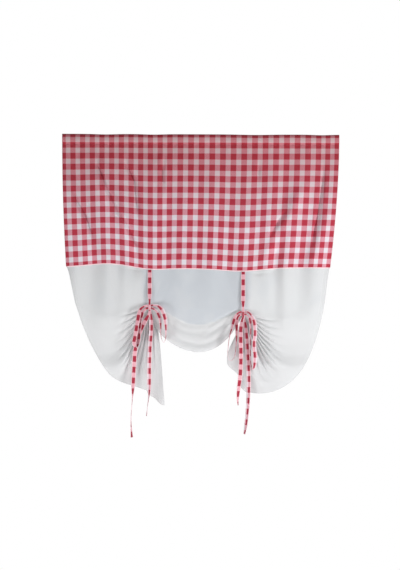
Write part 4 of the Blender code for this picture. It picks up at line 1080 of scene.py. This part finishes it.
def makeStitchTree():
    # a line of edges in, a row of short threads along it out
    tree = bpy.data.node_groups.new("Row of stitches", "GeometryNodeTree")
    keys = {}
    for label, kind in (("Geometry", "Geometry"), ("Stitch pitch", "Float"), ("Stitch length", "Float"),
                        ("Thread width", "Float"), ("Thread", "Material")):
        socket = tree.interface.new_socket(label, in_out="INPUT", socket_type="NodeSocket" + kind)
        keys[label] = socket.identifier
    tree.interface.new_socket("Geometry", in_out="OUTPUT", socket_type="NodeSocketGeometry")
    given = addNode(tree, "NodeGroupInput")
    line = addNode(tree, "GeometryNodeMeshToCurve", links={"Mesh": given.outputs["Geometry"]})
    spots = addNode(tree, "GeometryNodeResampleCurve", {"mode": "LENGTH"},
                    {"Curve": line.outputs[0], "Length": given.outputs["Stitch pitch"]})
    run = addNode(tree, "GeometryNodeInputTangent")
    turn = addNode(tree, "FunctionNodeAlignRotationToVector", {"axis": "Z"}, {"Vector": run.outputs[0]})
    radius = addNode(tree, "ShaderNodeMath", {"operation": "MULTIPLY"},
                     {0: given.outputs["Thread width"], 1: 0.5})
    thread = addNode(tree, "GeometryNodeMeshCylinder", links={
        "Vertices": stitchValues["sides"], "Radius": radius.outputs[0],
        "Depth": given.outputs["Stitch length"]})
    placed = addNode(tree, "GeometryNodeInstanceOnPoints", links={
        "Points": spots.outputs[0], "Instance": thread.outputs["Mesh"], "Rotation": turn.outputs[0]})
    real = addNode(tree, "GeometryNodeRealizeInstances", links={0: placed.outputs[0]})
    coloured = addNode(tree, "GeometryNodeSetMaterial",
                       links={"Geometry": real.outputs[0], "Material": given.outputs["Thread"]})
    addNode(tree, "NodeGroupOutput", links={0: coloured.outputs[0]})
    return tree, keys


stitchTree, stitchKeys = makeStitchTree()


def makeStitches(name, sheet, columns, lines, thickness, thread):
    # lines are lists of the sheet's own grid points, as column and row; the thread lies on its front
    points, edges = [], []
    for cells in lines:
        for step, (column, row) in enumerate(cells):
            spot = sheet.data.vertices[row * columns + column]
            if step:
                edges.append((len(points) - 1, len(points)))
            lift = thickness / 2 + stitchValues["thread"] * stitchValues["standsOut"]
            points.append(spot.co + spot.normal * lift)
    mesh = bpy.data.meshes.new(name)
    mesh.from_pydata([tuple(p) for p in points], edges, [])
    stitches = bpy.data.objects.new(name, mesh)
    bpy.context.scene.collection.objects.link(stitches)
    sewing = stitches.modifiers.new("Row of stitches", "NODES")
    sewing.node_group = stitchTree
    for label, value in (("Stitch pitch", stitchValues["pitch"]),
                         ("Stitch length", stitchValues["length"]),
                         ("Thread width", stitchValues["thread"]), ("Thread", thread)):
        sewing[stitchKeys[label]] = value
    ready = stitches.evaluated_get(bpy.context.evaluated_depsgraph_get())
    sewn = bpy.data.meshes.new_from_object(ready)
    stitches.modifiers.remove(sewing)
    stitches.data = sewn
    print("stitches", name, len(sewn.polygons), "faces")
    return stitches


panelColumns = ginghamPanel["columns"]
panelRows = len(ginghamRows())
belowPocket = panelRows - ginghamPanel["panelRows"] - 1
panelHem = stitchValues["ginghamHem"]
ginghamStitches = makeStitches("ginghamStitches", ginghamCloth, panelColumns, [
    [(column, belowPocket) for column in range(panelColumns)],
    [(column, panelRows - 2) for column in range(panelColumns)],
    [(panelHem, row) for row in range(belowPocket, panelRows)],
    [(panelColumns - 1 - panelHem, row) for row in range(belowPocket, panelRows)],
], ginghamPanel["thickness"], redThread)
voileColumns = 2 * voilePanel["wingColumns"] + voilePanel["swagColumns"] + 3
voileRows = len(voileCloth.data.vertices) // voileColumns
hemRows = round(voilePanel["bottomHem"] * (hang["pleatLegs"] - 1) * voilePanel["legRows"]
                / (voilePanel["length"] - voilePanel["swagFrontLength"]))
voileHem = stitchValues["voileHem"]
voileStitches = makeStitches("voileStitches", voileCloth, voileColumns, [
    [(column, voileRows - 1 - hemRows) for column in range(voileColumns)],
    [(voileHem, row) for row in range(2, voileRows)],
    [(voileColumns - 1 - voileHem, row) for row in range(2, voileRows)],
], voilePanel["thickness"], whiteThread)
print("stage: stitches made")

# A pale studio: a floor and a sky that the camera sees as white, and four wide lamps
stageValues = {
    "floorZ": -2.12, "floorSize": 16.0, "floor": "#E9E9E9", "floorRoughness": 0.9,
    "fillColour": (0.98, 0.99, 1.0, 1.0), "fill": 0.33,
    # each lamp's place, what it aims at, its width and height, and its power
    "lamps": {
        "softboxLow": ((0.1, -1.5, -1.75), (0.0, 0.0, -0.7), (2.8, 0.8), 15.0),
        "softboxLeft": ((-1.8, -1.3, -1.9), (0.0, 0.0, -0.5), (0.5, 0.6), 21.0),
        "softboxBack": ((0.8, 2.6, -0.4), (0.0, 0.0, -0.6), (1.4, 1.4), 40.0),
        "softboxRight": ((2.2, -1.5, -0.9), (0.0, 0.0, -0.7), (0.5, 0.9), 38.0),
    },
}


def makeFloor():
    # Pale plain floor that the camera sees as white, as the photograph's ground is
    mesh = bpy.data.meshes.new("paleFloor")
    s, z = stageValues["floorSize"], stageValues["floorZ"]
    mesh.from_pydata([(-s, -s, z), (s, -s, z), (s, s, z), (-s, s, z)], [], [(0, 1, 2, 3)])
    floor = bpy.data.objects.new("paleFloor", mesh)
    bpy.context.scene.collection.objects.link(floor)
    material, tree, shader = newMaterial("Pale matte floor", stageValues["floorRoughness"])
    shader.inputs["Base Color"].default_value = hexColour(stageValues["floor"])
    output = tree.nodes["Material Output"]
    light = addNode(tree, "ShaderNodeLightPath")
    white = addNode(tree, "ShaderNodeEmission", links={0: (1.0, 1.0, 1.0, 1.0), 1: 1.0})
    seen = addNode(tree, "ShaderNodeMixShader",
                   links={0: light.outputs["Is Camera Ray"], 1: shader.outputs[0], 2: white.outputs[0]})
    tree.links.new(seen.outputs[0], output.inputs["Surface"])
    mesh.materials.append(material)


def makeWorld():
    world = bpy.data.worlds.new("softStudio")
    bpy.context.scene.world = world
    world.use_nodes = True
    tree = world.node_tree
    for node in list(tree.nodes):
        tree.nodes.remove(node)
    light = addNode(tree, "ShaderNodeLightPath")
    fill = addNode(tree, "ShaderNodeBackground",
                   links={0: stageValues["fillColour"], 1: stageValues["fill"]})
    seen = addNode(tree, "ShaderNodeBackground", links={0: (1.0, 1.0, 1.0, 1.0), 1: 1.0})
    both = addNode(tree, "ShaderNodeMixShader",
                   links={0: light.outputs["Is Camera Ray"], 1: fill.outputs[0], 2: seen.outputs[0]})
    addNode(tree, "ShaderNodeOutputWorld", links={0: both.outputs[0]})


def makeLamp(name, place, aim, size, power):
    data = bpy.data.lights.new(name, "AREA")
    data.shape = "RECTANGLE"
    data.size, data.size_y = size
    data.energy = power
    lamp = bpy.data.objects.new(name, data)
    bpy.context.scene.collection.objects.link(lamp)
    lamp.location = place
    lamp.rotation_euler = (Vector(aim) - Vector(place)).to_track_quat("-Z", "Y").to_euler()


makeFloor()
makeWorld()
for lampName, lampLook in stageValues["lamps"].items():
    makeLamp(lampName, *lampLook)
bpy.context.scene.view_settings.view_transform = "Standard"
print("stage: floor and light made")

# Which solid each piece of cloth stands for; the solid is hidden and the cloth put under the root body
for piece, node in ((ginghamCloth, "gingham_panel"), (voileCloth, "sheer_panel"),
                    (ties["leftFrontTie"][0], "left_front_tie"),
                    (ties["leftRearTie"][0], "left_rear_tie"),
                    (ties["rightFrontTie"][0], "right_front_tie"),
                    (ties["rightRearTie"][0], "right_rear_tie")):
    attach(piece, "root")
    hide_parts(node)

for stitches, finish in ((ginghamStitches, "gingham"), (voileStitches, "voile")):
    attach(stitches, "root")
